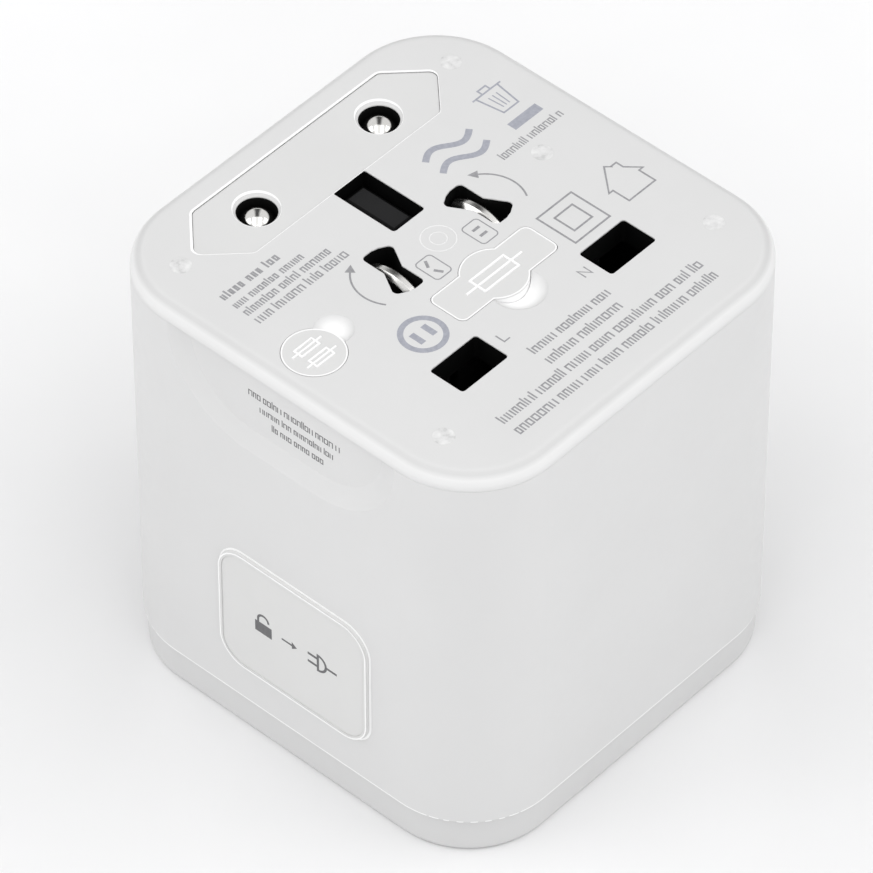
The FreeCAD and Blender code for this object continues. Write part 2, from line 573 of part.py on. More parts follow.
def mid_chassis():
    """Inner frame: a plate with hollow columns below, screw columns above and carriage guides."""
    plate = shell_outline("chassis_blank", "wall + chassis_gap", ("chassis_level", CHASSIS_TOP))
    parts = [plate]
    top = f"({PLATE_UNDER} - boss_length)"
    low = "(base_band + lip_height + column_gap)"
    for name, spot in POSTS.items():
        parts.append(rod(f"column_{name}", "column_radius", spot, (low, "chassis_level")))
    for name, spot in {**POSTS, "middle": MIDDLE_POST}.items():
        parts.append(rod(f"riser_{name}", "boss_radius", spot, ("chassis_level", top)))
    wall_x = "(blade_x + rotor_radius + rotor_gap + us_side_wall + slide_gap)"
    rear_y = "(blade_y + rotor_radius + rotor_gap + us_side_wall + slide_gap)"
    rise = ("chassis_level", f"{GUIDE_UNDER}")
    wall_front = f"(-fuse_y - {HOLDER})"
    parts.append(box("guide_left", (f"-{wall_x} - guide_wall", f"-{wall_x}"),
                     (wall_front, f"{rear_y} + guide_wall / 2"), rise))
    parts.append(box("guide_rear", (f"-{wall_x} - guide_wall", f"{wall_x} + guide_wall"),
                     (rear_y, f"{rear_y} + guide_wall / 2"), rise))
    parts.append(box("guide_right", (wall_x, f"{wall_x} + guide_wall"),
                     ("middle_post_y - boss_radius", f"{rear_y} + guide_wall / 2"), rise))
    post = (f"-{CARRIER_SIDE}", f"-{CARRIER_SIDE} + 1.2")
    beside = ("-button_y + 5.2", "-button_y + 9.8")
    parts.append(box("spring_post", post, beside, ("button_z - 5.6", "chassis_level")))
    through = ("chassis_level - 1", f"{CHASSIS_TOP} + 1")
    eu = ("-eu_half_width - 0.4", "eu_half_width + 0.4")
    holes = [box("eu_opening", eu, (EU_ZONE_Y, "body_depth"), through)]
    earth = ("-earth_width / 2 - 0.3", "earth_width / 2 + 0.3")
    behind = ("earth_y - earth_thick / 2 - 0.3", "body_depth / 2")
    holes.append(box("earth_opening", earth, behind, ("chassis_level - 1", f"{GUIDE_UNDER} + 1")))
    flange = "(button_width / 2 + button_flange + 0.3)"
    beside = ("-body_width / 2", "-uk_bar_left - 0.9")
    holes.append(box("latch_opening", beside, (f"-button_y - {flange}", f"-button_y + {flange}"), through))
    for name, spot in {**POSTS, "middle": MIDDLE_POST}.items():
        holes.append(rod(f"clearance_{name}", "screw_radius + 0.15", spot,
                         ("chassis_level - 2", f"{top} + 1")))
    for name, spot in POSTS.items():
        holes.append(rod(f"head_way_{name}", "screw_head_radius + 0.1", spot,
                         (f"{low} - 1", "chassis_level + 0.4")))
    holes.append(rod("head_way_middle", "screw_head_radius + 0.1", MIDDLE_POST,
                     ("chassis_level - 1", "chassis_level + 0.4")))
    riser = (f"-({BUS_OUT}) - 0.3", f"{BUS_OUT} + 0.3")
    holes.append(box("busbar_slot", riser, ("-fuse_y - 3.9", "-fuse_y - 3.1"), through))
    return cut("mid_chassis", union("chassis_solid", parts), holes)


BUS_OUT = "(blade_x + 3.2)"
BUS_IN = "(blade_x - 1.9)"
FRONT_LEG = ("(-line_y + uk_front_bar + 0.3)", "(-line_y + uk_front_bar + 0.3 + strip)")
REAR_LEG = ("(blade_y - rotor_radius - rotor_gap - us_side_wall - 0.35 - strip)",
            "(blade_y - rotor_radius - rotor_gap - us_side_wall - 0.35)")


def mirrored_box(name, side, x, y, z):
    """A box given by its distances from the middle plane, on one side of it."""
    low, high = x
    return box(name, (low, high) if side == "1" else (f"-({high})", f"-({low})"), y, z)


def busbar(name, side):
    """Folded brass strip that feeds the wipers of the sliding plugs on one side."""
    floor = (f"{CHASSIS_TOP} + 0.1", f"{CHASSIS_TOP} + 0.1 + strip")
    leg_z = (floor[0], f"{STOP} - 1")
    parts = [
        mirrored_box(f"bus_front_{name}", side, (BUS_IN, BUS_OUT), FRONT_LEG, leg_z),
        mirrored_box(f"bus_rear_{name}", side, (BUS_IN, BUS_OUT), REAR_LEG, (f"{US_LOW} - 3", leg_z[1])),
        mirrored_box(f"bus_bridge_{name}", side, (BUS_IN, f"{BUS_IN} + strip"),
                     (FRONT_LEG[0], REAR_LEG[1]), (TAB_LOW, leg_z[1])),
    ]
    if name == "l":
        parts.append(mirrored_box("bus_tab", side, (f"{BORE} - 0.05", f"{BUS_IN} + strip"),
                                  ("-fuse_y - 0.7", "-fuse_y + 0.7"), (TAB_LOW, f"{TAB_LOW} + strip")))
    else:
        parts.append(mirrored_box("bus_drop", side, (BUS_IN, BUS_OUT), FRONT_LEG, ("contact_high", leg_z[0])))
        parts.append(mirrored_box("bus_foot", side, (BUS_IN, BUS_OUT),
                                  ("-line_y + contact_grip", FRONT_LEG[1]),
                                  ("contact_high", "contact_high + strip")))
    return union(f"busbar_{name}", parts)


def rear_busbar(name, side):
    """Folded brass strip that feeds the round-pin carriage, carried under the chassis plate."""
    run = ("chassis_level - 0.1 - strip", "chassis_level - 0.1")
    leg = (f"{EU_ZONE_Y} + 0.1", f"{EU_ZONE_Y} + 0.1 + strip")
    reach = ("eu_half_width - 2.4", "eu_half_width - 0.8")
    parts = [
        mirrored_box(f"rear_run_{name}", side, reach, ("-line_y + socket_blade_width / 2 + 2.4", leg[1]),
                     run),
        mirrored_box(f"rear_leg_{name}", side, reach, leg, (run[0], f"{STOP} - 1.4")),
    ]
    return union(f"rear_busbar_{name}", parts)


def contact_carrier():
    """Moulded box under the chassis plate that holds the two socket contacts."""
    half = "(socket_centre_x + socket_width / 2 + carrier_wall)"
    depth = "(socket_blade_width / 2 + 1.2)"
    roof = "(chassis_level - carrier_wall)"
    body = box("carrier_blank", (f"-{half}", half),
               (f"-line_y - {depth} - carrier_wall", f"-line_y + {depth} + carrier_wall / 2"),
               ("carrier_low", "chassis_level"))
    holes = []
    for name, side in SIDES.items():
        reach = ("socket_centre_x - socket_width / 2 - 0.9", f"{half} - carrier_wall")
        spread = (f"-line_y - {depth}", f"-line_y + {depth}")
        holes.append(mirrored_box(f"contact_pocket_{name}", side, reach, spread, ("carrier_low - 1", roof)))
        way = (f"{BUS_IN} - 0.3", f"{BUS_OUT} + 0.3")
        holes.append(mirrored_box(f"strip_way_{name}", side, way, ("-line_y", f"{FRONT_LEG[1]} + 0.2"),
                                  (f"{roof} - 1", "chassis_level + 1")))
    holes.append(mirrored_box("strap_way", "-1", ("strap_near", BUS_OUT),
                              ("-line_y", f"{FRONT_LEG[1]} + 0.2"), (f"{roof} - 1.2", "chassis_level + 1")))
    return cut("contact_carrier", body, holes)


def socket_contact(name, side):
    """Folded brass contact: two leaves for flat and round pins, a narrow pair for blades."""
    reach = ("socket_centre_x - socket_width / 2 + 0.1", "socket_centre_x + socket_width / 2 - 0.1")
    outer = "(contact_grip + contact_wall)"
    shell = mirrored_box(f"leaf_blank_{name}", side, reach, (f"-line_y - {outer}", f"-line_y + {outer}"),
                         ("contact_low", "contact_high"))
    mouth = mirrored_box(f"leaf_mouth_{name}", side, ("0", "30"),
                         ("-line_y - contact_grip", "-line_y + contact_grip"),
                         ("contact_low - 1", "contact_high - contact_wall"))
    slot = mirrored_box(f"leaf_slot_{name}", side, ("0", "socket_blade_x + 2.2"),
                        (f"-line_y - {outer} - 1", f"-line_y + {outer} + 1"),
                        ("contact_low - 1", "contact_high - 1.5"))
    leaves = cut(f"leaves_{name}", shell, [mouth, slot])
    pair = [mirrored_box(f"blade_leaf_{name}_{n}", side, (low, f"{low} + contact_wall"),
                         ("-line_y - 1.8", "-line_y + 1.8"),
                         ("contact_low + 1.6", "contact_high - contact_wall / 2"))
            for n, low in enumerate(("socket_blade_x - 1.4", "socket_blade_x + 0.9"))]
    return union(f"socket_contact_{name}", [leaves, *pair])


def fuse_parts(name, spot):
    """Cartridge fuse: its glass barrel, and two metal end caps in one node."""
    barrel = rod(f"{name}_fuse_barrel", "fuse_radius - fuse_tube_step", spot,
                     (f"{FUSE_LOW} + 0.3", f"{FUSE_HIGH} - 0.3"))
    caps = []
    for end, z, core in (("low", (FUSE_LOW, f"{FUSE_LOW} + fuse_cap_length"), f"{FUSE_LOW} + 0.3"),
                         ("high", (f"{FUSE_HIGH} - fuse_cap_length", FUSE_HIGH), f"{FUSE_HIGH} - 0.3")):
        cap = rod(f"{name}_cap_{end}", "fuse_radius", spot, z)
        inner = (core, f"{z[1]} + 1") if end == "low" else (f"{z[0]} - 1", core)
        caps.append(cut(f"{name}_end_{end}", cap,
                        [rod(f"{name}_core_{end}", "fuse_radius - fuse_tube_step", spot, inner)]))
    return [barrel, group(f"{name}_fuse_caps", caps)]


def fuse_clips():
    """Spring cup under the fuse, ring round its upper cap, and the strap to the live contact."""
    thick = "(fuse_radius + clip_wall)"
    cup = rod("clip_cup_blank", thick, MAIN, (HOLDER_LOW, f"{FUSE_LOW} + 4"))
    lower = cut("fuse_clip_lower", cup,
                [rod("clip_cup_bore", "fuse_radius", MAIN, (FUSE_LOW, f"{FUSE_LOW} + 5"))])
    ring = rod("clip_ring_blank", thick, MAIN, (f"{TAB_LOW}", f"{FUSE_HIGH}"))
    upper = cut("fuse_clip_upper", ring,
                [rod("clip_ring_bore", "fuse_radius", MAIN, (f"{TAB_LOW} - 1", f"{FUSE_HIGH} + 1"))])
    reach = ("-strap_far", "-strap_near")
    strap = union("fuse_strap", [
        box("strap_top", reach, (FRONT_LEG[0], "-fuse_y + 1"), (f"{HOLDER_LOW} - strip", HOLDER_LOW)),
        box("strap_riser", reach, FRONT_LEG, ("contact_high", HOLDER_LOW)),
        box("strap_foot", ("-socket_blade_x", "-strap_near"), ("-line_y + contact_grip - 0.5", FRONT_LEG[1]),
            ("contact_high", "contact_high + strip")),
    ])
    return [lower, upper, strap]


def cover_screws():
    """Five pan-head screws driven up through the chassis into the lid's bosses."""
    screws = []
    top = f"({PLATE_UNDER} - boss_length)"
    for name, spot in {**POSTS, "middle": MIDDLE_POST}.items():
        seat = "(chassis_level + 0.4)"
        head = rod(f"head_{name}", "screw_head_radius", spot, (f"{seat} - screw_head_height", seat))
        shank = rod(f"shank_{name}", "screw_radius", spot, (seat, f"{top} + screw_bite"))
        drive = flat_bar(f"drive_{name}", spot, ("2.2", "0.5"),
                         (f"{seat} - screw_head_height - 1", f"{seat} - 0.7"), "0")
        cross = flat_bar(f"cross_{name}", spot, ("0.5", "2.2"),
                         (f"{seat} - screw_head_height - 1", f"{seat} - 0.7"), "0")
        screws.append(cut(f"screw_{name}", union(f"screw_blank_{name}", [head, shank]), [drive, cross]))
    return group("cover_screws", screws)


# ---------------------------------------------------------------- three-pin plug on its carriage
def knob(name):
    """Slider knob with grip ribs, seated on the end of its carriage's arm."""
    facing, at, travel, centre, arm_low, arm_high = KNOBS[name]
    if facing == "+X":
        spot = ("body_width / 2 - track_depth + fit_gap", at, centre)
        plate = rounded(f"{name}_knob_plate", ("knob_length", "knob_width"), "knob_thick", "knob_corner",
                        spot, "+X", rim="0.35")
    else:
        spot = (at, "body_depth / 2 - track_depth + fit_gap", centre)
        plate = rounded(f"{name}_knob_plate", ("knob_width", "knob_length"), "knob_thick", "knob_corner",
                        spot, "+Y", rim="0.35")
    ribs = []
    for step in (-1, 0, 1):
        level = f"({centre} + {step} * rib_pitch)"
        if facing == "+X":
            rib_at = ("body_width / 2 - track_depth + fit_gap + knob_thick - 0.2", at, level)
            size = ("rib_thick", "knob_width - 2.4")
        else:
            rib_at = (at, "body_depth / 2 - track_depth + fit_gap + knob_thick - 0.2", level)
            size = ("knob_width - 2.4", "rib_thick")
        ribs.append(rounded(f"{name}_rib_{step + 1}", size, "rib_rise + 0.2", "0.3", rib_at, facing,
                            rim="0.2"))
    return union(f"{name}_knob", [plate, *ribs])


def arm(name, start):
    """The arm that runs from a carriage through the case wall to its knob."""
    facing, at, travel, centre, low, high = KNOBS[name]
    across = (f"{at} - arm_thick / 2", f"{at} + arm_thick / 2")
    if facing == "+X":
        return box(f"{name}_arm", (start, "body_width / 2 - track_depth + fit_gap"), across, (low, high))
    return box(f"{name}_arm", across, (start, "body_depth / 2 - track_depth + fit_gap"), (low, high))


UK_ROOT = f"({UK_TOP} - pin_root)"


def line_pin(name, side):
    """Rectangular brass pin with a chamfered tip and a thin core under its insulating sleeve."""
    tip = f"({FACE} + line_length - uk_travel)"
    sleeve_top = f"({FACE} + pin_sleeve - uk_travel)"
    centre = (f"{side} * line_x", "-line_y")
    size = ("line_width", "line_thick")
    core_size = tuple(f"{item} - 2 * pin_sleeve_wall" for item in size)
    head = peg(f"uk_head_{name}", centre, size, (sleeve_top, tip), tip="tip_chamfer")
    core = block(f"uk_core_{name}", centre, core_size, (UK_ROOT, sleeve_top))
    jacket = block(f"uk_jacket_{name}", centre, size, (UK_TOP, sleeve_top))
    bore = block(f"uk_jacket_bore_{name}", centre, core_size, (f"{UK_TOP} - 1", f"{sleeve_top} + 1"))
    return [union(f"uk_pin_{name}", [head, core]), cut(f"uk_pin_sleeve_{name}", jacket, [bore])]


def earth_pin():
    """Moulded plastic earth pin that opens the shutters of a wall socket."""
    tip = f"({FACE} + earth_length - uk_travel)"
    return peg("uk_earth_pin", ("0", "earth_y"), ("earth_width", "earth_thick"), (UK_ROOT, tip),
               tip="tip_chamfer")


def uk_carriage():
    """C-shaped carriage that ties the three pins together round the blade carriage."""
    z = (UK_LOW, UK_TOP)
    left = "-uk_bar_left"
    front = (f"-line_y - uk_front_bar - 1.3", f"-line_y + uk_front_bar")
    rear = ("earth_y - uk_rear_bar", "earth_y + uk_rear_bar")
    parts = [
        box("uk_front", (left, "uk_bar_right"), front, z),
        box("uk_side", (left, f"{left} + uk_side_bar"), (front[0], rear[1]), z),
        box("uk_rear", (left, "earth_width / 2 + 1"), rear, z),
        box("uk_earth_pad", ("-earth_width / 2 - 1", "earth_width / 2 + 1"),
            (rear[0], "earth_y + earth_thick / 2 - 0.1"), z),
        arm("uk", "uk_bar_right - 1"),
    ]
    seats = [block(f"uk_seat_{name}", (f"{side} * line_x", "-line_y"),
                   ("line_width - 2 * pin_sleeve_wall", "line_thick - 2 * pin_sleeve_wall"),
                   (UK_ROOT, f"{UK_TOP} + 1")) for name, side in SIDES.items()]
    seats.append(block("uk_seat_earth", ("0", "earth_y"), ("earth_width", "earth_thick"),
                       (UK_ROOT, f"{UK_TOP} + 1")))
    return cut("uk_carriage", union("uk_solid", parts), seats)


def wipers(name, y, z, reach):
    """Two small brass leaves that carry current from the busbars to the sliding pins."""
    return group(name, [mirrored_box(f"{name}_{tag}", side, reach, y, z) for tag, side in SIDES.items()])


# ---------------------------------------------------------------- two-blade plug on its carriage
def blade_carriage():
    """Carriage with two round pockets in which the blade rotors turn, and its screwed-on cap."""
    half_x = "(blade_x + rotor_radius + rotor_gap + us_side_wall)"
    half_y = "(rotor_radius + rotor_gap + us_side_wall)"
    spread = (f"blade_y - {half_y}", f"blade_y + {half_y}")
    base = union("us_solid",
                 [box("us_blank", (f"-{half_x}", half_x), spread, (US_LOW, US_CAP_LOW)),
                  arm("us", f"{half_x} - 1")])
    lid = box("us_cap_blank", (f"-{half_x}", half_x), spread, (US_CAP_LOW, US_TOP))
    notch = (("-earth_width / 2 - 0.25", "earth_width / 2 + 0.25"),
             ("earth_y - earth_thick / 2 - 0.25", "earth_y"))
    pockets = [box("us_notch", *notch, (f"{US_LOW} - 1", f"{US_CAP_LOW} + 1"))]
    mouths = [box("us_cap_notch", *notch, (f"{US_CAP_LOW} - 1", f"{US_TOP} + 1"))]
    for name, side in SIDES.items():
        centre = (f"{side} * blade_x", "blade_y")
        pockets.append(rod(f"rotor_pocket_{name}", "rotor_radius + rotor_gap", centre,
                           (f"{US_CAP_LOW} - rotor_height - 2 * rotor_gap", f"{US_CAP_LOW} + 1")))
        mouths.append(rod(f"rotor_mouth_{name}", "rotor_radius - 0.3", centre,
                          (f"{US_CAP_LOW} - 1", f"{US_TOP} + 1")))
    return [cut("blade_carriage", base, pockets), cut("blade_carriage_cap", lid, mouths)]


def arch_slice(name, radii, reach, centre, tip):
    """A slice of the blade's arched tip: a round of two radii, lying across the blade."""
    kind = "Part::Cylinder" if radii[0] == radii[1] else "Part::Cone"
    solid = doc.addObject(kind, name)
    solid.Placement = FreeCAD.Placement(FreeCAD.Vector(), FACINGS["+X"])
    for prop, radius in zip(("Radius",) if kind == "Part::Cylinder" else ("Radius1", "Radius2"), radii):
        bind(solid, prop, radius)
    bind(solid, "Height", f"({reach[1]}) - ({reach[0]})")
    return place(solid, f"{centre[0]} - blade_thick / 2 + {reach[0]}", centre[1], f"{tip} - blade_tip_radius")


def blade(name, side):
    """Flat folded-brass blade with an arched tip, and the moulded rotor that holds it."""
    centre = (f"{side} * blade_x", "blade_y")
    foot = f"({US_CAP_LOW} - rotor_height + 0.8)"
    tip = f"({FACE} - blade_drop)"
    bar = block(f"blade_bar_{name}", centre, ("blade_thick", "blade_width"), (foot, tip))
    low = f"blade_tip_radius - blade_bevel"
    slices = (("left", low, "blade_tip_radius", "0", "blade_bevel"),
              ("middle", "blade_tip_radius", "blade_tip_radius", "blade_bevel", "blade_thick - blade_bevel"),
              ("right", "blade_tip_radius", low, "blade_thick - blade_bevel", "blade_thick"))
    form = [arch_slice(f"blade_arch_{name}_{part}", (near, far), (start, end), centre, tip)
            for part, near, far, start, end in slices]
    size = ("blade_thick + 2", "blade_width + 2")
    form.append(block(f"blade_shaft_{name}", centre, size, (f"{foot} - 1", f"{tip} - blade_tip_radius")))
    metal = common(f"blade_{name}", bar, union(f"blade_form_{name}", form))
    disc = rod(f"rotor_disc_{name}", "rotor_radius", centre,
               (f"{US_CAP_LOW} - rotor_height - rotor_gap", f"{US_CAP_LOW} - rotor_gap"))
    seat = block(f"rotor_seat_{name}", centre, ("blade_thick", "blade_width"), (foot, US_TOP))
    return [metal, cut(f"blade_rotor_{name}", disc, [seat])]


# ---------------------------------------------------------------- round-pin plug
def eu_block():
    """Hexagonal block that slides out ahead of the round pins, with two black liners."""
    solid = hexagon("block_blank", (BLOCK_LOW, BLOCK_TOP))
    rear = "(block_y + block_thick / 2)"
    lug = box("block_lugs", ("-eu_half_width", "eu_half_width"), (f"{rear} - 0.5", f"{rear} + block_lug"),
              (BLOCK_LOW, f"{STOP} - block_travel"))
    through = (f"{BLOCK_LOW} - 1", f"{FACE} + 1")
    holes = []
    for name, side in SIDES.items():
        centre = (f"{side} * round_x", "round_y")
        holes.append(rod(f"block_bore_{name}", "liner_radius", centre,
                         (through[0], f"{BLOCK_TOP} - liner_drop")))
        holes.append(rod(f"block_mouth_{name}", "liner_radius - liner_lip", centre, through))
        funnel = doc.addObject("Part::Cone", f"block_funnel_{name}")
        bind(funnel, "Radius1", "liner_radius - liner_lip")
        bind(funnel, "Radius2", "liner_radius")
        bind(funnel, "Height", "liner_lip")
        holes.append(place(funnel, *centre, f"{BLOCK_TOP} - liner_lip"))
    solids = [cut("eu_block", union("block_solid", [solid, lug]), holes)]
    for name, side in SIDES.items():
        centre = (f"{side} * round_x", "round_y")
        tube = rod(f"liner_blank_{name}", "liner_radius", centre, (BLOCK_LOW, f"{BLOCK_TOP} - liner_drop"))
        solids.append(cut(f"eu_block_liner_{name}", tube,
                          [rod(f"liner_bore_{name}", "round_radius + 0.1", centre, through)]))
    return solids


def round_pin(name, side):
    """Turned pin with a domed tip and a thin core inside its insulating sleeve."""
    centre = (f"{side} * round_x", "round_y")
    apex = f"({BLOCK_TOP} - round_drop)"
    sleeve_top = f"({apex} - round_length + round_sleeve)"
    root = f"({EU_TOP} - 4)"
    dome = ball(f"eu_dome_{name}", "round_radius", centre, f"{apex} - round_radius")
    head = rod(f"eu_head_{name}", "round_radius", centre, (sleeve_top, f"{apex} - round_radius"))
    core = rod(f"eu_core_{name}", "round_core", centre, (root, sleeve_top))
    pin = union(f"eu_pin_{name}", [dome, head, core])
    jacket = rod(f"eu_jacket_{name}", "round_sleeve_radius", centre, (EU_TOP, sleeve_top))
    bore = rod(f"eu_jacket_bore_{name}", "round_core", centre, (f"{EU_TOP} - 1", f"{sleeve_top} + 1"))
    return [pin, cut(f"eu_pin_sleeve_{name}", jacket, [bore])]


def eu_carriage():
    spread = ("block_y - block_thick / 2 + 0.4", "block_y + block_thick / 2 - 0.4")
    blank = box("eu_blank", ("-eu_half_width", "eu_half_width"), spread, (EU_LOW, EU_TOP))
    seats = [rod(f"eu_seat_{name}", "round_core", (f"{side} * round_x", "round_y"),
                 (f"{EU_TOP} - 4", f"{EU_TOP} + 1")) for name, side in SIDES.items()]
    return cut("eu_carriage", union("eu_solid", [blank, arm("eu", "block_y")]), seats)


# ---------------------------------------------------------------- unlock button, latch and shutter
def unlock_button():
    """Flush rounded button with a thin raised rim and a flange that keeps it in its window."""
    front = "(body_width / 2 + button_rise)"
    skin = f"{front} - ({INNER_X} - fit_gap)"
    spot = (f"-({INNER_X} - fit_gap)", "-button_y", "button_z")
    size = ("button_height", "button_width")
    face = rounded("button_face", size, skin, "button_corner", spot, "-X", rim="button_edge")
    wide = tuple(f"{item} + 2 * button_flange" for item in size)
    back = (f"-({INNER_X} - fit_gap - button_flange_thick)", "-button_y", "button_z")
    flange = rounded("button_flange_plate", wide, "button_flange_thick", "button_corner", back, "-X")
    low = tuple(f"{item} - 2 * button_rim" for item in size)
    floor = (f"-({front} - button_dish)", "-button_y", "button_z")
    dish = rounded("button_dish_tool", low, "button_dish + 1", "button_corner - button_rim", floor, "-X")
    return cut("unlock_button", union("button_solid", [face, flange]), [dish])


LATCH_BACK = f"({INNER_X} - fit_gap - button_flange_thick)"


def lock_plate():
    """Steel latch plate behind the button, with a nose that stands beside the pin carriage."""
    upright_plate = box("latch_upright", (f"-{LATCH_BACK}", f"-({LATCH_BACK} - latch_plate)"),
                        ("-button_y - 9.6", "-button_y + 9.6"), ("button_z - 7", "button_z + 6.4"))
    nose = box("latch_nose", (f"-({LATCH_BACK} - latch_plate / 2)", "-uk_bar_left - 2.6"),
               ("-button_y - 4", "-button_y + 4"), ("button_z + 4.8", "button_z + 5.8"))
    tooth = box("latch_tooth", ("-uk_bar_left - 3.6", "-uk_bar_left - 2.6"),
                ("-button_y - 4", "-button_y + 4"), ("button_z + 4.8", f"button_z + 6.4"))
    return union("lock_plate", [upright_plate, nose, tooth])


def unlock_springs():
    """Envelope of the two coil springs between the latch plate and the contact carrier."""
    tubes = []
    for tag, y in (("front", "-button_y - 7.5"), ("rear", "-button_y + 7.5")):
        start = f"-({LATCH_BACK} - latch_plate)"
        outer = doc.addObject("Part::Cylinder", f"spring_{tag}")
        inner = doc.addObject("Part::Cylinder", f"spring_bore_{tag}")
        for solid, radius in ((outer, "spring_radius"), (inner, "spring_radius - 2 * spring_wire")):
            solid.Placement = FreeCAD.Placement(FreeCAD.Vector(), FACINGS["+X"])
            bind(solid, "Radius", radius)
            bind(solid, "Height", f"-({CARRIER_SIDE}) - ({start})")
            place(solid, start, y, "button_z - 3")
        tubes.append(cut(f"spring_tube_{tag}", outer, [inner]))
    return group("unlock_springs", tubes)


SHUTTER_LOW = "(base_band + shutter_gap)"
RAMP_Y = "(earth_y - earth_thick / 2)"


def socket_shutter():
    """Sliding shutter: a plate over both slots, and a tongue whose ramp the earth pin pushes."""
    z = (SHUTTER_LOW, f"{SHUTTER_LOW} + shutter_thick")
    plate = box("shutter_plate", ("-shutter_half_width", "shutter_half_width"),
                ("-line_y - shutter_depth / 2", "-line_y + shutter_depth / 2"), z)
    tongue = box("shutter_tongue", ("-tongue_half_width", "tongue_half_width"),
                 ("-line_y", f"{RAMP_Y} + 0.6"), z)
    ramp = doc.addObject("Part::Wedge", "shutter_ramp")
    ramp.Placement = FreeCAD.Placement(FreeCAD.Vector(), FreeCAD.Rotation(FreeCAD.Vector(1, 0, 0), 90))
    for prop, text in (("Xmin", "-tongue_half_width"), ("Xmax", "tongue_half_width"),
                       ("X2min", "-tongue_half_width"),
                       ("X2max", "tongue_half_width"), ("Ymin", "0"), ("Ymax", "ramp_height"), ("Zmin",
                                                                                                "-0.8"),
                       ("Zmax", "0"), ("Z2min", "-ramp_height"), ("Z2max", "0")):
        bind(ramp, prop, text)
    place(ramp, "0", RAMP_Y, SHUTTER_LOW)
    return union("socket_shutter", [plate, tongue, ramp])


def shutter_spring():
    """Envelope of the coil spring that pushes the shutter closed."""
    outer = doc.addObject("Part::Cylinder", "return_spring")
    inner = doc.addObject("Part::Cylinder", "return_bore")
    start = "(-line_y + socket_blade_width / 2 + 1.2 + carrier_wall / 2)"
    for solid, radius in ((outer, "shutter_spring_radius"),
                          (inner, "shutter_spring_radius - 2 * spring_wire")):
        solid.Placement = FreeCAD.Placement(FreeCAD.Vector(), FACINGS["+Y"])
        bind(solid, "Radius", radius)
        bind(solid, "Height", f"{RAMP_Y} - {start}")
        place(solid, "0", start, f"{SHUTTER_LOW} + shutter_thick + shutter_spring_radius + 0.2")
    return cut("shutter_spring", outer, [inner])


def fuse_covers():
    """Lift-off caps over the working fuse and the spare, each with a stem in its bore."""
    stem = (f"{CAP_LOW} - cap_stem", CAP_LOW)
    z = (CAP_LOW, FACE)
    wings = rounded("fuse_cap_wings", ("2 * cap_half_width", "2 * cap_half_depth"), "cap_thick", "cap_corner",
                    ("0", "-fuse_y", CAP_LOW), tip="cap_edge")
    main = union("fuse_cover", [wings, *bevelled_disc("fuse_cap", "cap_disc_radius", MAIN, z),
                                rod("fuse_stem", f"{BORE} - 0.1", MAIN, stem)])
    spare = union("spare_fuse_cover", [*bevelled_disc("spare_cap", "spare_disc_radius", SPARE, z),
                                       rod("spare_stem", f"{BORE} - 0.1", SPARE, stem)])
    return [main, spare]


# ---------------------------------------------------------------- assembly and export
pieces = [
    plug_face_cover(), pin_guide_plate(), housing_sleeve(), socket_face_cover(), mid_chassis(),
    contact_carrier(), cover_screws(), *fuse_clips(),
    *fuse_parts("main", MAIN), *fuse_parts("spare", SPARE), *fuse_covers(),
    uk_carriage(), earth_pin(), knob("uk"),
    wipers("uk_wipers", ("-line_y + uk_front_bar", "-line_y + uk_front_bar + 0.15"),
           (f"{UK_LOW} + 0.4", f"{UK_TOP} - 0.4"), (f"{BUS_OUT} - 1.6", f"{BUS_OUT} - 0.2")),
    *blade_carriage(), knob("us"),
    wipers("blade_wipers", (f"{US_FRONT} - 0.2", US_FRONT), (f"{US_LOW} + 1", f"{US_CAP_LOW} - 0.6"),
           (f"{BUS_OUT} - 2.4", f"{BUS_OUT} - 0.4")),
    *eu_block(), eu_carriage(), knob("eu"),
    wipers("eu_wipers", (f"{EU_ZONE_Y} + 0.25 + strip", "block_y - block_thick / 2 + 0.4"),
           (f"{EU_LOW} + 0.5", f"{EU_TOP} - 0.5"), ("eu_half_width - 2.2", "eu_half_width - 1")),
    unlock_button(), lock_plate(), unlock_springs(), socket_shutter(), shutter_spring(),
]
for tag, sign in SIDES.items():
    pieces += [busbar(tag, sign), rear_busbar(tag, sign), socket_contact(tag, sign)]
    pieces += [*line_pin(tag, sign), *blade(tag, sign), *round_pin(tag, sign)]
doc.recompute()

for item in doc.Objects:
    if "Invalid" in item.State or "Error" in item.State:
        raise RuntimeError(f"{item.Name} failed: {item.State}")
for piece in pieces:
    if piece.Shape.isNull() or not piece.Shape.isValid() or not piece.Shape.Solids:
        raise RuntimeError(f"{piece.Name} has no valid solid")

os.makedirs("parts", exist_ok=True)
for piece in pieces:
    piece.Label = piece.Name
    piece.Shape.exportStep(os.path.join("parts", piece.Name + ".step"))
    print(f"{piece.Name}: {len(piece.Shape.Solids)} solid(s), {piece.Shape.Volume:.1f} mm3")
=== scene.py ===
"""Looks of a universal travel adapter: pale satin mouldings, nickel-plated pins, grey pad printing.

The adapter stands on its socket face, +Z up to the plug face. Sizes here are in millimetres
unless a line says otherwise, and MM turns them into the frame's metres.
"""

import math
import random

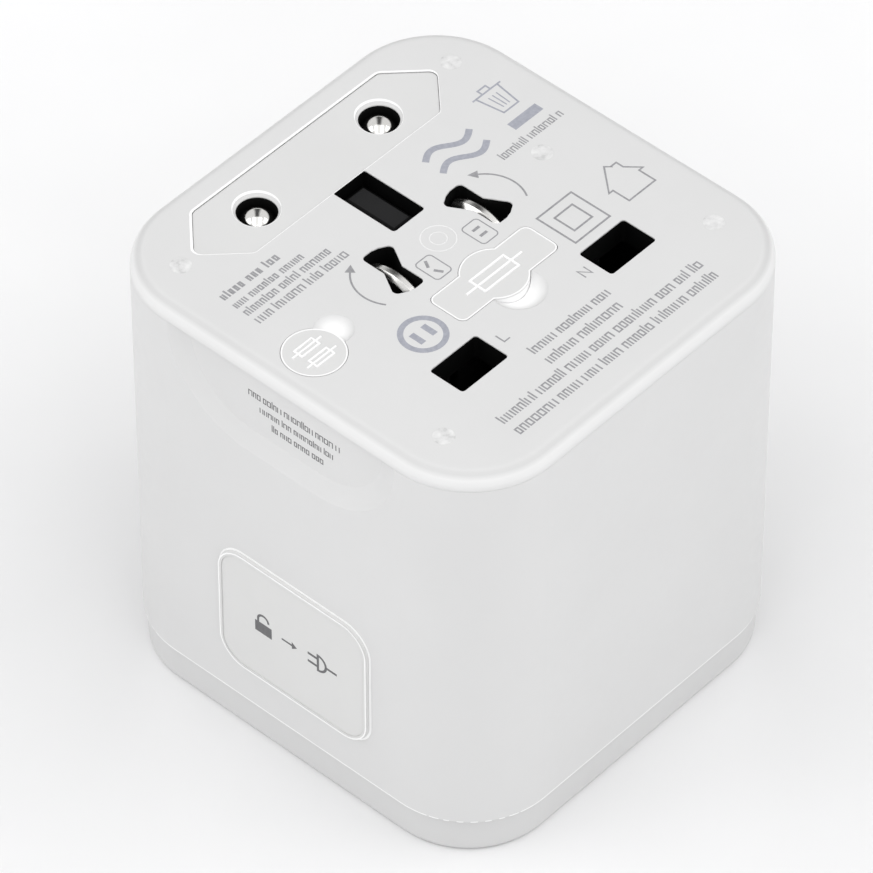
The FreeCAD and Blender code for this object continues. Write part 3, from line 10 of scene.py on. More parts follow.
import bmesh
import bpy
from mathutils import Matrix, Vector


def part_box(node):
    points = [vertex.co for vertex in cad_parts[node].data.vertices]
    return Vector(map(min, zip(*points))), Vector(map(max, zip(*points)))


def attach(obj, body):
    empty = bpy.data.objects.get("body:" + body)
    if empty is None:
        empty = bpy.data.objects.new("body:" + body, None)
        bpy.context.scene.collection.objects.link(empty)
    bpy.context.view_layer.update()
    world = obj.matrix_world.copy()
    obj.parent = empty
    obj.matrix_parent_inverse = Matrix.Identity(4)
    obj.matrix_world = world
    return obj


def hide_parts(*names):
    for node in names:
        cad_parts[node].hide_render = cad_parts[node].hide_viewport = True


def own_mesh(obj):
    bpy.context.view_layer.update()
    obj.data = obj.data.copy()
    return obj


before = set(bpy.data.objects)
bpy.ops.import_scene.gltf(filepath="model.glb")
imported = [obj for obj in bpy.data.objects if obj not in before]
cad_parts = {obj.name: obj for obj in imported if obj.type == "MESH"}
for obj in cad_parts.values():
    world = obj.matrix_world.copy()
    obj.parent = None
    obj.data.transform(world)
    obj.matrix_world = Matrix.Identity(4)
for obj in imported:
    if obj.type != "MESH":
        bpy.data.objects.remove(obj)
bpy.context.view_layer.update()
MM = 0.001


# ---------------------------------------------------------------- moulded case
# Two covers and a sleeve, injection moulded in one pale grey-white ABS with a fine spark-eroded
# satin skin. They snap together, with five screws from inside pulling the lid down.
def link(tree, source, output, target, socket):
    tree.links.new(source.outputs[output], target.inputs[socket])


def principled(tree):
    return next(node for node in tree.nodes if node.type == "BSDF_PRINCIPLED")


def new_material(name):
    """An empty node material: its tree, its Principled shader and the object-space position."""
    material = bpy.data.materials.new(name)
    material.use_nodes = True
    tree = material.node_tree
    shader = principled(tree)
    place = tree.nodes.new("ShaderNodeTexCoord")
    return material, tree, shader, place


def noise(tree, place, scale, detail=2.0, stretch=None):
    """Noise with features of 1/scale metres, stretched along an axis if asked."""
    texture = tree.nodes.new("ShaderNodeTexNoise")
    texture.inputs["Scale"].default_value = scale
    texture.inputs["Detail"].default_value = detail
    if stretch is None:
        link(tree, place, "Object", texture, "Vector")
        return texture
    mapping = tree.nodes.new("ShaderNodeMapping")
    mapping.inputs["Scale"].default_value = stretch
    link(tree, place, "Object", mapping, "Vector")
    link(tree, mapping, "Vector", texture, "Vector")
    return texture


def tint(tree, factor, low, high, target, socket):
    """Colour that wanders between two tones."""
    ramp = tree.nodes.new("ShaderNodeValToRGB")
    ramp.color_ramp.elements[0].position = 0.3
    ramp.color_ramp.elements[0].color = (*low, 1)
    ramp.color_ramp.elements[1].position = 0.7
    ramp.color_ramp.elements[1].color = (*high, 1)
    link(tree, factor, "Fac", ramp, "Fac")
    link(tree, ramp, "Color", target, socket)


def spread(tree, factor, low, high, target, socket):
    """A number that wanders between two values."""
    ranged = tree.nodes.new("ShaderNodeMapRange")
    ranged.inputs["From Min"].default_value = 0.3
    ranged.inputs["From Max"].default_value = 0.7
    ranged.inputs["To Min"].default_value = low
    ranged.inputs["To Max"].default_value = high
    link(tree, factor, "Fac", ranged, "Value")
    link(tree, ranged, "Result", target, socket)


def relief(tree, shader, heights, edge):
    """Stacked bumps of (texture, strength, height in metres) over softly rounded edges."""
    soft = tree.nodes.new("ShaderNodeBevel")
    soft.inputs["Radius"].default_value = edge
    last, output = soft, "Normal"
    for texture, strength, height in heights:
        bump = tree.nodes.new("ShaderNodeBump")
        bump.inputs["Strength"].default_value = strength
        bump.inputs["Distance"].default_value = height
        link(tree, texture, "Fac", bump, "Height")
        link(tree, last, output, bump, "Normal")
        last = bump
    link(tree, last, "Normal", shader, "Normal")


def moulded(name, colour, roughness, grain=0.22, wander=0.02, edge=0.12, shine=0.5):
    """Injection-moulded plastic: faint flow clouds, spark-eroded grain and scuffed gloss."""
    material, tree, shader, place = new_material(name)
    clouds = noise(tree, place, 70)
    low = tuple(channel * (1 - wander) for channel in colour)
    tint(tree, clouds, low, colour, shader, "Base Color")
    scuffs = noise(tree, place, 900, 3)
    spread(tree, scuffs, roughness - 0.05, roughness + 0.05, shader, "Roughness")
    eroded = noise(tree, place, 5200, 2)
    waves = noise(tree, place, 240, 1)
    relief(tree, shader, [(waves, 0.05, 0.02 * MM), (eroded, grain, 0.006 * MM)], edge * MM)
    shader.inputs["IOR"].default_value = 1.5
    shader.inputs["Specular IOR Level"].default_value = shine
    return material


def finish_nodes(material, *names):
    """Gives the CAD's own pieces their finish."""
    for name in names:
        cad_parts[name].material_slots[0].material = material


case_white = moulded("case_white_abs", (0.685, 0.685, 0.685), 0.42)
finish_nodes(case_white, "housing_sleeve")
# The socket face cover is toned a little darker than the sleeve: painted shade on the base band.
base_white = moulded("base_white_abs", (0.65, 0.65, 0.65), 0.44)
finish_nodes(base_white, "socket_face_cover")

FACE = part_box("plug_face_cover")[1].z
SIDE_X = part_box("housing_sleeve")[0].x


# ---------------------------------------------------------------- plug face cover
# The lid's colour is painted light and shade by slope: lightest on the rounded shoulder, darkest in a
# band just off the flat top. The two finger scoops beside the fuse caps are painted near-white as a
# highlight.
def remap(tree, source, output, stops):
    """A grey tone that depends on a number, as (number, tone) stops."""
    ramp = tree.nodes.new("ShaderNodeValToRGB")
    while len(ramp.color_ramp.elements) < len(stops):
        ramp.color_ramp.elements.new(0.5)
    for element, (position, tone) in zip(ramp.color_ramp.elements, stops):
        element.position = position
        element.color = (tone, tone, tone, 1)
    link(tree, source, output, ramp, "Fac")
    return ramp


def over(tree, kind, mask, output, shader, tone=None):
    """Blend the shader's colour with a tone, or with the mask's own, by the mask."""
    before = shader.inputs["Base Color"].links[0].from_socket
    mix = tree.nodes.new("ShaderNodeMixRGB")
    mix.blend_type = kind
    tree.links.new(before, mix.inputs["Color1"])
    if tone is None:
        mix.inputs["Fac"].default_value = 1.0
        link(tree, mask, output, mix, "Color2")
    else:
        mix.inputs["Color2"].default_value = (tone, tone, tone, 1)
        link(tree, mask, output, mix, "Fac")
    link(tree, mix, "Color", shader, "Base Color")


def depth_mask(tree, place, top, deep):
    """Zero at a height and above it, one at a lower height, both in metres."""
    split = tree.nodes.new("ShaderNodeSeparateXYZ")
    link(tree, place, "Object", split, "Vector")
    ranged = tree.nodes.new("ShaderNodeMapRange")
    ranged.inputs["From Min"].default_value = top
    ranged.inputs["From Max"].default_value = deep
    link(tree, split, "Z", ranged, "Value")
    return ranged


lid_white = moulded("lid_white_abs", (0.80, 0.80, 0.80), 0.42)
tree = lid_white.node_tree
shader = principled(tree)
place = next(node for node in tree.nodes if node.type == "TEX_COORD")
surface = tree.nodes.new("ShaderNodeNewGeometry")
split = tree.nodes.new("ShaderNodeSeparateXYZ")
link(tree, surface, "Normal", split, "Vector")
# Painted light and shade: the lid's tone by how far each spot faces up (the normal's Z), as (Z, tone).
PAINTED_LIGHT_BY_SLOPE = ((0.0, 0.88), (0.3, 0.95), (0.62, 0.96), (0.85, 0.78), (0.93, 0.80), (0.985, 0.87))
slope_light = remap(tree, split, "Z", PAINTED_LIGHT_BY_SLOPE)
over(tree, "MULTIPLY", slope_light, "Color", shader)
# Each scoop is part of a ball: x, y, radius, radius of its mouth, and depth.
SCOOPS = ((0.0, -8.8, 4.5, 2.95, 0.95), (-16.5, 1.0, 3.2, 2.1, 0.8))
for x, y, radius, mouth, depth in SCOOPS:
    middle = tree.nodes.new("ShaderNodeVectorMath")
    middle.operation = "DISTANCE"
    link(tree, place, "Object", middle, 0)
    rise = math.sqrt(radius ** 2 - mouth ** 2)
    middle.inputs[1].default_value = (x * MM, y * MM, FACE + rise * MM)
    inside = tree.nodes.new("ShaderNodeMath")
    inside.operation = "LESS_THAN"
    link(tree, middle, "Value", inside, 0)
    inside.inputs[1].default_value = (radius + 0.03) * MM
    fade = depth_mask(tree, place, FACE, FACE - depth * MM)
    both = tree.nodes.new("ShaderNodeMath")
    both.operation = "MULTIPLY"
    link(tree, inside, "Value", both, 0)
    link(tree, fade, "Result", both, 1)
    # Painted highlight: inside each scoop's mouth the lid is coloured near-white.
    over(tree, "MIX", both, "Value", shader, 0.97)
finish_nodes(lid_white, "plug_face_cover")


# ---------------------------------------------------------------- painted highlight lines round the openings
# Thin near-white strips without grain lie on the edges of the hexagonal opening and both fuse caps:
# a painted highlight, a fine bright line where those edges catch the light.
highlight_white = moulded("painted_highlight_abs", (0.97, 0.97, 0.97), 0.2, grain=0.0, wander=0.0, edge=0.03)


def slab(x0, x1, y0, y1):
    """An upright rectangle's outline."""
    return [Vector((x0, y0)), Vector((x1, y0)), Vector((x1, y1)), Vector((x0, y1))]


def arc(centre, radius, start, end, steps):
    """Points on an arc, angles in degrees."""
    points = []
    for step in range(steps + 1):
        angle = math.radians(start + (end - start) * step / steps)
        points.append(Vector((centre[0] + radius * math.cos(angle), centre[1] + radius * math.sin(angle))))
    return points


def softened(corners, radius, steps=5):
    """A closed polygon's points with its corners rounded."""
    points = []
    count = len(corners)
    for index, corner in enumerate(corners):
        here = Vector(corner)
        before = (Vector(corners[index - 1]) - here).normalized()
        after = (Vector(corners[(index + 1) % count]) - here).normalized()
        half = before.angle(after) / 2
        back = radius / math.tan(half)
        start, end = here + before * back, here + after * back
        middle = here + (before + after).normalized() * (radius / math.sin(half))
        for step in range(steps + 1):
            points.append(middle + (start.lerp(end, step / steps) - middle).normalized() * radius)
    return points


def strip(sides, closed):
    """The quads between two lines that run side by side, as pairs of points."""
    following = sides[1:] + sides[:1] if closed else sides[1:]
    return [[left, right, next_right, next_left]
            for (left, right), (next_left, next_right) in zip(sides, following)]


def ribbon(points, width, closed=False):
    """The quads of a stroke of even width along a line of points."""
    count = len(points)
    sides = []
    for index, point in enumerate(points):
        before = points[index - 1] if index or closed else point
        after = points[(index + 1) % count] if index < count - 1 or closed else point
        into = (point - before).normalized() if (point - before).length else (after - point).normalized()
        out = (after - point).normalized() if (after - point).length else into
        bisector = (into + out).normalized()
        across = Vector((-bisector.y, bisector.x))
        reach = width / 2 / max(0.5, across.dot(Vector((-into.y, into.x))))
        sides.append((point + across * reach, point - across * reach))
    return strip(sides, closed)


def rim(points, near, far):
    """The quads of a band outside a closed outline; far gives its reach for a way outwards."""
    count = len(points)
    sides = []
    for index, point in enumerate(points):
        along = (points[(index + 1) % count] - points[index - 1]).normalized()
        out = Vector((along.y, -along.x))
        sides.append((point + out * near, point + out * far(out)))
    return strip(sides, True)


def on_face(u, v, lift):
    return Vector((u * MM, v * MM, FACE + lift * MM))


def put(name, mesh, material):
    """An object made of a finished mesh, in one material."""
    bmesh.ops.recalc_face_normals(mesh, faces=mesh.faces)
    data = bpy.data.meshes.new(name)
    mesh.to_mesh(data)
    mesh.free()
    data.materials.append(material)
    piece = bpy.data.objects.new(name, data)
    bpy.context.scene.collection.objects.link(piece)
    return piece


def flat_piece(name, shapes, place, thick, material, body):
    """Flat shapes laid on a surface as one thin closed piece: shapes are outlines of 2-D points."""
    mesh = bmesh.new()
    for outline in shapes:
        top = [mesh.verts.new(place(point[0], point[1], thick)) for point in outline]
        low = [mesh.verts.new(place(point[0], point[1], -0.02)) for point in outline]
        mesh.faces.new(top)
        mesh.faces.new(low[::-1])
        for index in range(len(outline)):
            after = (index + 1) % len(outline)
            mesh.faces.new((top[after], top[index], low[index], low[after]))
    bmesh.ops.remove_doubles(mesh, verts=mesh.verts, dist=1e-7)
    twins = {}
    for face in mesh.faces:
        twins.setdefault(frozenset(face.verts), []).append(face)
    inner = [face for pair in twins.values() if len(pair) > 1 for face in pair]
    bmesh.ops.delete(mesh, geom=inner, context="FACES_ONLY")
    piece = put(name, mesh, material)
    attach(piece, body)
    return piece


block_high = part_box("eu_block")[1] / MM
hex_y = 18.5
hex_half = 4.3
hex_tip = block_high.x + 0.373
hex_flat = hex_tip - hex_half
hex_points = [(hex_tip, hex_y), (hex_flat, hex_y + hex_half), (-hex_flat, hex_y + hex_half),
              (-hex_tip, hex_y), (-hex_flat, hex_y - hex_half), (hex_flat, hex_y - hex_half)]
hex_outline = softened(hex_points, 0.9)
# Painted highlight round the hexagonal opening, widest on its far (+Y) side.
hex_highlight = rim(hex_outline, 0.04, lambda out: 0.12 + 0.2 * min(1, max(0, out.y + 0.6)))
flat_piece("hexagon_highlight", hex_highlight, on_face, 0.015, highlight_white, "case")

# A painted highlight: a thin near-white band on the sleeve's lower edge shows as a fine bright line over the
# base.
wide, deep = 25.5, 26.3
case_outline = softened(slab(-wide, wide, -deep, deep), 10.4, 14)
EDGE_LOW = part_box("housing_sleeve")[0].z / MM
mesh = bmesh.new()
loops = []
for index, point in enumerate(case_outline):
    along = (case_outline[(index + 1) % len(case_outline)] - case_outline[index - 1]).normalized()
    out = Vector((along.y, -along.x))
    corners = ((0.012, 0.0), (0.012, 0.13), (-0.05, 0.13), (-0.05, 0.0))
    spots = [point.to_3d() + out.to_3d() * reach + Vector((0, 0, EDGE_LOW + rise)) for reach, rise in corners]
    loops.append([mesh.verts.new(spot * MM) for spot in spots])
for one, two in zip(loops, loops[1:] + loops[:1]):
    for k in range(4):
        mesh.faces.new((one[k], two[k], two[(k + 1) % 4], one[(k + 1) % 4]))
piece = put("sleeve_edge_highlight", mesh, highlight_white)
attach(piece, "case")


# ---------------------------------------------------------------- black pin guide and liners
# A black plate under the lid carries collars that line every pin hole, so the holes look black
# to their edges. The round pins have their own black liners inside the hexagonal block.
black_guide = moulded("black_guide_pa66", (0.003, 0.003, 0.003), 0.6, grain=0.15, wander=0.2, shine=0.1)
finish_nodes(black_guide, "pin_guide_plate", "eu_block_liner_l", "eu_block_liner_n", "blade_rotor_l",
             "blade_rotor_n")

# A black foil lengthens the guide's curtain, or daylight from a knob's slot shows in the pin hole.
CURTAIN_MIDDLE = 17.0


def on_curtain(u, v, lift):
    return Vector(((CURTAIN_MIDDLE + lift) * MM, u * MM, v * MM))


flat_piece("curtain_foil", [slab(-6.4, -4.8, 31.0, 51.9)], on_curtain, 0.08, black_guide, "case")

# The earth pin and insulating sleeves get painted light on their ends and painted shade on their sides.
black_pin = moulded("black_earth_pin_pa66", (0.026, 0.026, 0.027), 0.45, grain=0.12, wander=0.1, shine=0.15)
tree = black_pin.node_tree
shader = principled(tree)
surface = tree.nodes.new("ShaderNodeNewGeometry")
split = tree.nodes.new("ShaderNodeSeparateXYZ")
link(tree, surface, "Normal", split, "Vector")
over(tree, "MULTIPLY", remap(tree, split, "Z", ((0.75, 0.2), (0.97, 0.7))), "Color", shader)

# The guide's web between the earth hole and the hexagonal opening is only a skin.
EARTH_END = 14.15


def on_web(u, v, lift):
    return Vector((u * MM, (EARTH_END - lift) * MM, FACE + v * MM))


flat_piece("earth_collar_web", [slab(-2.3, 2.3, -3.1, -0.15)], on_web, 0.01, black_guide, "case")
finish_nodes(black_pin, "uk_earth_pin", "uk_pin_sleeve_l", "uk_pin_sleeve_n", "eu_pin_sleeve_l",
             "eu_pin_sleeve_n")


# ---------------------------------------------------------------- hexagonal block
# The block that slides out round the two round pins, moulded in the case's plastic.
block_white = moulded("block_white_abs", (0.69, 0.69, 0.688), 0.42)
finish_nodes(block_white, "eu_block")
BLOCK_DROP = 0.1


def on_block(u, v, lift):
    return Vector((u * MM, v * MM, FACE + (lift - BLOCK_DROP) * MM))


# Painted highlights on the mouths of the two round holes: near-white crescents, widest on their far side.
ROUND_X, ROUND_Y, MOUTH = 9.1, 18.3, 2.45
for tag, side in (("l", -1), ("n", 1)):
    mouth = arc((side * ROUND_X, ROUND_Y), MOUTH, 0, 360, 48)[:-1]
    crescent = rim(mouth, 0.0, lambda out: 0.05 + 0.34 * max(0, out.y * 0.8 + out.x * 0.6))
    flat_piece(f"round_hole_highlight_{tag}", crescent, on_block, 0.02, highlight_white, "eu_guide_block")


# ---------------------------------------------------------------- pins and blades
# Brass, turned or stamped, then nickel plated and tumbled bright. The blades are folded strip,
# drawn lengthwise, so their streaks run along them.
def plated(name, colour, roughness, streak, strength=0.12):
    """Bright plating with fine streaks stretched along one axis."""
    material, tree, shader, place = new_material(name)
    shader.inputs["Metallic"].default_value = 1.0
    fog = noise(tree, place, 260, 3)
    tint(tree, fog, tuple(channel * 0.9 for channel in colour), colour, shader, "Base Color")
    drawn = noise(tree, place, 1.0, 3, streak)
    spread(tree, drawn, roughness * 0.6, roughness * 1.5, shader, "Roughness")
    relief(tree, shader, [(drawn, strength, 0.01 * MM)], 0.08 * MM)
    return material


nickel_turned = plated("nickel_turned_pin", (0.83, 0.82, 0.80), 0.12, (900, 900, 5000), 0.05)
nickel_drawn = plated("nickel_drawn_blade", (0.86, 0.85, 0.83), 0.2, (5200, 700, 700), 0.3)
nickel_stamped = plated("nickel_stamped_pin", (0.80, 0.79, 0.77), 0.22, (4200, 4200, 260), 0.15)
finish_nodes(nickel_turned, "eu_pin_l", "eu_pin_n")
finish_nodes(nickel_drawn, "blade_l", "blade_n")
finish_nodes(nickel_stamped, "uk_pin_l", "uk_pin_n")


# ---------------------------------------------------------------- fuse caps and fuses
# Two flush caps that lift out by a scoop in the lid. Each covers a 5 x 20 mm cartridge fuse: a
# glass barrel with bright end caps, held between a cup and a ring of spring brass.
cap_white = moulded("fuse_cap_abs", (0.695, 0.695, 0.692), 0.4, grain=0.15)
tree = cap_white.node_tree
shader = principled(tree)
place = next(node for node in tree.nodes if node.type == "TEX_COORD")
# Painted highlight: the caps' sides from 0.08 mm below the face downwards are coloured near-white.
over(tree, "MIX", depth_mask(tree, place, FACE - 0.08 * MM, FACE - 0.2 * MM), "Result", shader, 0.95)
finish_nodes(cap_white, "fuse_cover", "spare_fuse_cover")
cap_low, cap_high = (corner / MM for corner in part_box("fuse_cover"))
cap_y = (cap_low.y + cap_high.y) / 2
spare_low, spare_high = (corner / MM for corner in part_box("spare_fuse_cover"))
spare_centre = ((spare_low.x + spare_high.x) / 2, (spare_low.y + spare_high.y) / 2)
CAP_DISC = (cap_high.y - cap_low.y) / 2
WING_HALF = 2.4
WING_CORNER = 0.9


def fuse_cap_outline(grow):
    """The cap's outline: a rounded bar with a disc across its middle, as centreline points."""
    half, wide, disc = WING_HALF + grow, cap_high.x + grow, CAP_DISC + grow
    joint = math.degrees(math.asin(half / disc))
    corner = WING_CORNER + grow
    points = arc((wide - corner, cap_y - half + corner), corner, -90, 0, 5)
    points += arc((wide - corner, cap_y + half - corner), corner, 0, 90, 5)
    points += arc((0, cap_y), disc, joint, 180 - joint, 20)
    points += arc((-wide + corner, cap_y + half - corner), corner, 90, 180, 5)
    points += arc((-wide + corner, cap_y - half + corner), corner, 180, 270, 5)
    points += arc((0, cap_y), disc, 180 + joint, 360 - joint, 20)
    return points


# Painted highlight lines round both fuse caps.
flat_piece("fuse_cap_highlight", ribbon(fuse_cap_outline(-0.1), 0.17, closed=True), on_face, 0.012,
           highlight_white, "fuse_cap")
spare_ring = arc(spare_centre, (spare_high.x - spare_low.x) / 2 - 0.1, 0, 360, 56)[:-1]
flat_piece("spare_cap_highlight", ribbon(spare_ring, 0.17, closed=True), on_face, 0.012,
           highlight_white, "spare_fuse_cap")


def fuse_symbol(centre, length, height, width):
    """The drafting symbol of a fuse, a box on a line, as strokes round a centre."""
    x, y = centre
    half = length / 2
    strokes = ribbon(slab(x - half, x + half, y - height / 2, y + height / 2), width, closed=True)
    edge = half + width / 2
    lead = length * 0.3
    wires = ((-edge - lead, -edge), (width / 2 - half, half - width / 2), (edge, edge + lead))
    for start, end in wires:
        strokes += ribbon([Vector((x + start, y)), Vector((x + end, y))], width)
    return strokes


# The raised fuse symbols are coloured near-white like the highlight lines: painted highlight on the relief.
flat_piece("fuse_cap_symbol", fuse_symbol((0, cap_y), 5.0, 2.1, 0.24), on_face, 0.1,
           highlight_white, "fuse_cap")
spare_symbols = fuse_symbol((spare_centre[0], spare_centre[1] + 1.0), 2.5, 1.1, 0.2)
spare_symbols += fuse_symbol((spare_centre[0], spare_centre[1] - 1.0), 2.5, 1.1, 0.2)
flat_piece("spare_cap_symbol", spare_symbols, on_face, 0.1, highlight_white, "spare_fuse_cap")

bright_tin = plated("fuse_end_cap_tin", (0.74, 0.74, 0.72), 0.2, (4000, 4000, 300))
finish_nodes(bright_tin, "main_fuse_caps", "spare_fuse_caps")
glass, tree, shader, place = new_material("fuse_glass")
shader.inputs["Transmission Weight"].default_value = 0.9
shader.inputs["IOR"].default_value = 1.5
film = noise(tree, place, 500, 3)
tint(tree, film, (0.86, 0.9, 0.9), (0.96, 0.98, 0.98), shader, "Base Color")
spread(tree, film, 0.02, 0.09, shader, "Roughness")
finish_nodes(glass, "main_fuse_barrel", "spare_fuse_barrel")


# ---------------------------------------------------------------- brass conductors
# Half-hard brass strip, sheared and folded: busbars, socket contacts, fuse clips and wipers.
rolled_brass = plated("rolled_brass_strip", (0.80, 0.60, 0.30), 0.26, (300, 300, 5000), 0.2)
finish_nodes(rolled_brass, "rear_busbar_l", "rear_busbar_n", "socket_contact_l", "socket_contact_n",
             "fuse_strap", "fuse_clip_lower", "fuse_clip_upper", "uk_wipers", "blade_wipers", "eu_wipers")

# The two main busbars are dipped in black enamel.
enamel = moulded("busbar_black_enamel", (0.006, 0.006, 0.006), 0.45, grain=0.05, wander=0.1, shine=0.2)
finish_nodes(enamel, "busbar_l", "busbar_n")


# ---------------------------------------------------------------- inner frame and carriages
# Black glass-filled nylon mouldings, so nothing shows through the pin holes.
frame_black = moulded("inner_frame_pa_gf", (0.01, 0.01, 0.0105), 0.6, grain=0.4, wander=0.2, shine=0.2)
finish_nodes(frame_black, "mid_chassis", "contact_carrier", "uk_carriage", "blade_carriage",
             "blade_carriage_cap", "eu_carriage")
shutter_grey = moulded("shutter_pom", (0.60, 0.61, 0.62), 0.35, grain=0.1)
finish_nodes(shutter_grey, "socket_shutter")
zinc = plated("zinc_plated_steel", (0.62, 0.63, 0.66), 0.3, (2600, 2600, 2600), 0.2)
finish_nodes(zinc, "cover_screws", "lock_plate")


# ---------------------------------------------------------------- springs
# Three coil springs of plated music wire: two push the unlock button out, one shuts the socket's
# shutter.
def coil(name, fixed, free, radius, wire, turns, material, node):
    """A wound spring between two points, from its fixed end to its free one."""
    along = free - fixed
    length = along.length
    axis = along.normalized()
    side = axis.orthogonal().normalized()
    up = axis.cross(side)
    steps, ring = int(turns * 22), 8
    mesh = bmesh.new()
    loops = []
    for step in range(steps + 1):
        share = step / steps
        angle = 2 * math.pi * turns * share
        out = side * math.cos(angle) + up * math.sin(angle)
        centre = fixed + axis * (wire + (length - 2 * wire) * share) + out * radius
        loops.append([mesh.verts.new(centre + (out * math.cos(t) + axis * math.sin(t)) * wire)
                      for t in (2 * math.pi * k / ring for k in range(ring))])
    for one, two in zip(loops, loops[1:]):
        for k in range(ring):
            mesh.faces.new((one[k], one[(k + 1) % ring], two[(k + 1) % ring], two[k]))
    mesh.faces.new(loops[0][::-1])
    mesh.faces.new(loops[-1])
    piece = put(name, mesh, material)
    for polygon in piece.data.polygons:
        polygon.use_smooth = True
    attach(piece, "case")
    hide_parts(node)
    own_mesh(piece)
    return piece


spring_wire = plated("spring_music_wire", (0.58, 0.58, 0.60), 0.25, (2000, 2000, 2000), 0.1)
low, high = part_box("unlock_springs")
radius = (high.z - low.z) / 2
for tag, y in (("front", low.y + radius), ("rear", high.y - radius)):
    seat = Vector((high.x, y, (low.z + high.z) / 2))
    coil(f"unlock_spring_{tag}", seat, seat - Vector((high.x - low.x, 0, 0)), radius - 0.25 * MM,
         0.22 * MM, 6, spring_wire, "unlock_springs")
low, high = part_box("shutter_spring")
radius = (high.z - low.z) / 2
seat = Vector(((low.x + high.x) / 2, low.y, (low.z + high.z) / 2))
coil("shutter_return_spring", seat, seat + Vector((0, high.y - low.y, 0)), radius - 0.2 * MM, 0.17 * MM, 11,
     spring_wire, "shutter_spring")


# ---------------------------------------------------------------- unlock button
# A separate moulding in the same plastic, a little proud of the wall. A painted highlight line runs
# round its edge and round its window, and its face carries two printed pictograms: an open padlock
# and a plug.
button_white = moulded("button_white_abs", (0.685, 0.685, 0.68), 0.4)
finish_nodes(button_white, "unlock_button")
low, high = (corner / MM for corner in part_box("unlock_button"))
BUTTON_OUT = low.x
BUTTON_Y = (low.y + high.y) / 2
BUTTON_Z = (low.z + high.z) / 2
BUTTON_FLANGE = 0.8
BUTTON_DISH = 0.1
half_y = (high.y - low.y) / 2 - BUTTON_FLANGE
half_z = (high.z - low.z) / 2 - BUTTON_FLANGE


def on_button(u, v, lift):
    return Vector(((BUTTON_OUT + BUTTON_DISH - lift) * MM, (BUTTON_Y - u) * MM, (BUTTON_Z + v) * MM))


def on_button_rim(u, v, lift):
    return Vector(((BUTTON_OUT - lift) * MM, (BUTTON_Y - u) * MM, (BUTTON_Z + v) * MM))


button_outline = softened(slab(-half_y, half_y, -half_z, half_z), 3.3, 9)
button_edge = [point * 0.985 for point in button_outline]
flat_piece("button_edge_highlight", ribbon(button_edge, 0.16, closed=True), on_button_rim, 0.01, highlight_white, "unlock")


def on_side(u, v, lift):
    return Vector((SIDE_X - lift * MM, (BUTTON_Y - u) * MM, (BUTTON_Z + v) * MM))


# Painted highlight round the button's window, widest on the sides that face the light.
window_highlight = rim(button_outline, 0.01, lambda out: 0.12 + 0.16 * min(1, max(0, out.x + out.y + 0.6)))
flat_piece("window_highlight", window_highlight, on_side, 0.02, highlight_white, "case")

ink_dark, tree, shader, place = new_material("dark_grey_pad_ink")
speckle = noise(tree, place, 3500, 3)
tint(tree, speckle, (0.10, 0.10, 0.105), (0.15, 0.15, 0.155), shader, "Base Color")
spread(tree, speckle, 0.4, 0.6, shader, "Roughness")
INK = 0.012


padlock = [slab(-5.2, -2.9, -1.2, 0.3)]
padlock += ribbon(arc((-4.05, 0.75), 0.72, 0, 180, 12) + [Vector((-4.77, 0.3))], 0.28)
arrow = ribbon([Vector((-1.5, 0)), Vector((-0.1, 0))], 0.24)
arrow += [[Vector((-0.1, -0.5)), Vector((0.6, 0)), Vector((-0.1, 0.5))]]
plug = ribbon(arc((3.5, 0), 1.1, -90, 90, 14), 0.3, closed=True)
plug += ribbon([Vector((4.75, 0)), Vector((6.1, 0))], 0.3)
plug += [slab(2.1, 3.35, 0.4, 0.72), slab(2.1, 3.35, -0.72, -0.4)]
flat_piece("button_pictograms", padlock + plug + arrow, on_button, INK, ink_dark, "unlock")


# ---------------------------------------------------------------- slider knobs
# Ribbed sliders in their tracks, moulded in the case's plastic.
knob_white = moulded("knob_white_abs", (0.66, 0.66, 0.665), 0.45)
finish_nodes(knob_white, "uk_knob", "us_knob", "eu_knob")


# ---------------------------------------------------------------- printing on the plug face
# Two pad-printed greys. Rows of small signs stand for the lettering, and plain symbols for the
# approval marks; the pole letters and the drafting symbols for the blades are kept.
ink_grey, tree, shader, place = new_material("grey_pad_ink")
speckle = noise(tree, place, 3500, 3)
tint(tree, speckle, (0.27, 0.27, 0.28), (0.35, 0.35, 0.365), shader, "Base Color")
spread(tree, speckle, 0.4, 0.6, shader, "Roughness")
ink_blue, tree, shader, place = new_material("blue_grey_pad_ink")
speckle = noise(tree, place, 3500, 3)
tint(tree, speckle, (0.33, 0.34, 0.39), (0.40, 0.41, 0.46), shader, "Base Color")
spread(tree, speckle, 0.4, 0.6, shader, "Roughness")

rows = random.Random(7)


def mark(x, y, tall, stroke, kind):
    """One stand-in sign, a bar, a pair of bars, a gate or a frame; and its width."""
    low = tall * 0.74
    wide = tall * rows.uniform(0.42, 0.56)
    if kind == "bar":
        return [slab(x, x + stroke, y, y + tall)], stroke
    posts = [slab(x, x + stroke, y, y + low), slab(x + wide - stroke, x + wide, y, y + low)]
    if kind == "pair":
        return posts, wide
    posts.append(slab(x + stroke, x + wide - stroke, y + low - stroke, y + low))
    if kind == "gate":
        return posts, wide
    return posts + [slab(x + stroke, x + wide - stroke, y, y + stroke)], wide


def tick_row(x0, x1, y0, y1, stroke):
    """A printed line stood for by short groups of small signs."""
    shapes = []
    x = x0
    left = rows.randint(3, 8)
    while x < x1 - 0.3:
        kind = rows.choice(("bar", "pair", "gate", "gate", "frame"))
        signs, wide = mark(x, y0, y1 - y0, stroke, kind)
        shapes += signs
        x += wide + stroke * 0.95
        left -= 1
        if left == 0:
            x += stroke * 2.2
            left = rows.randint(3, 8)
    return shapes


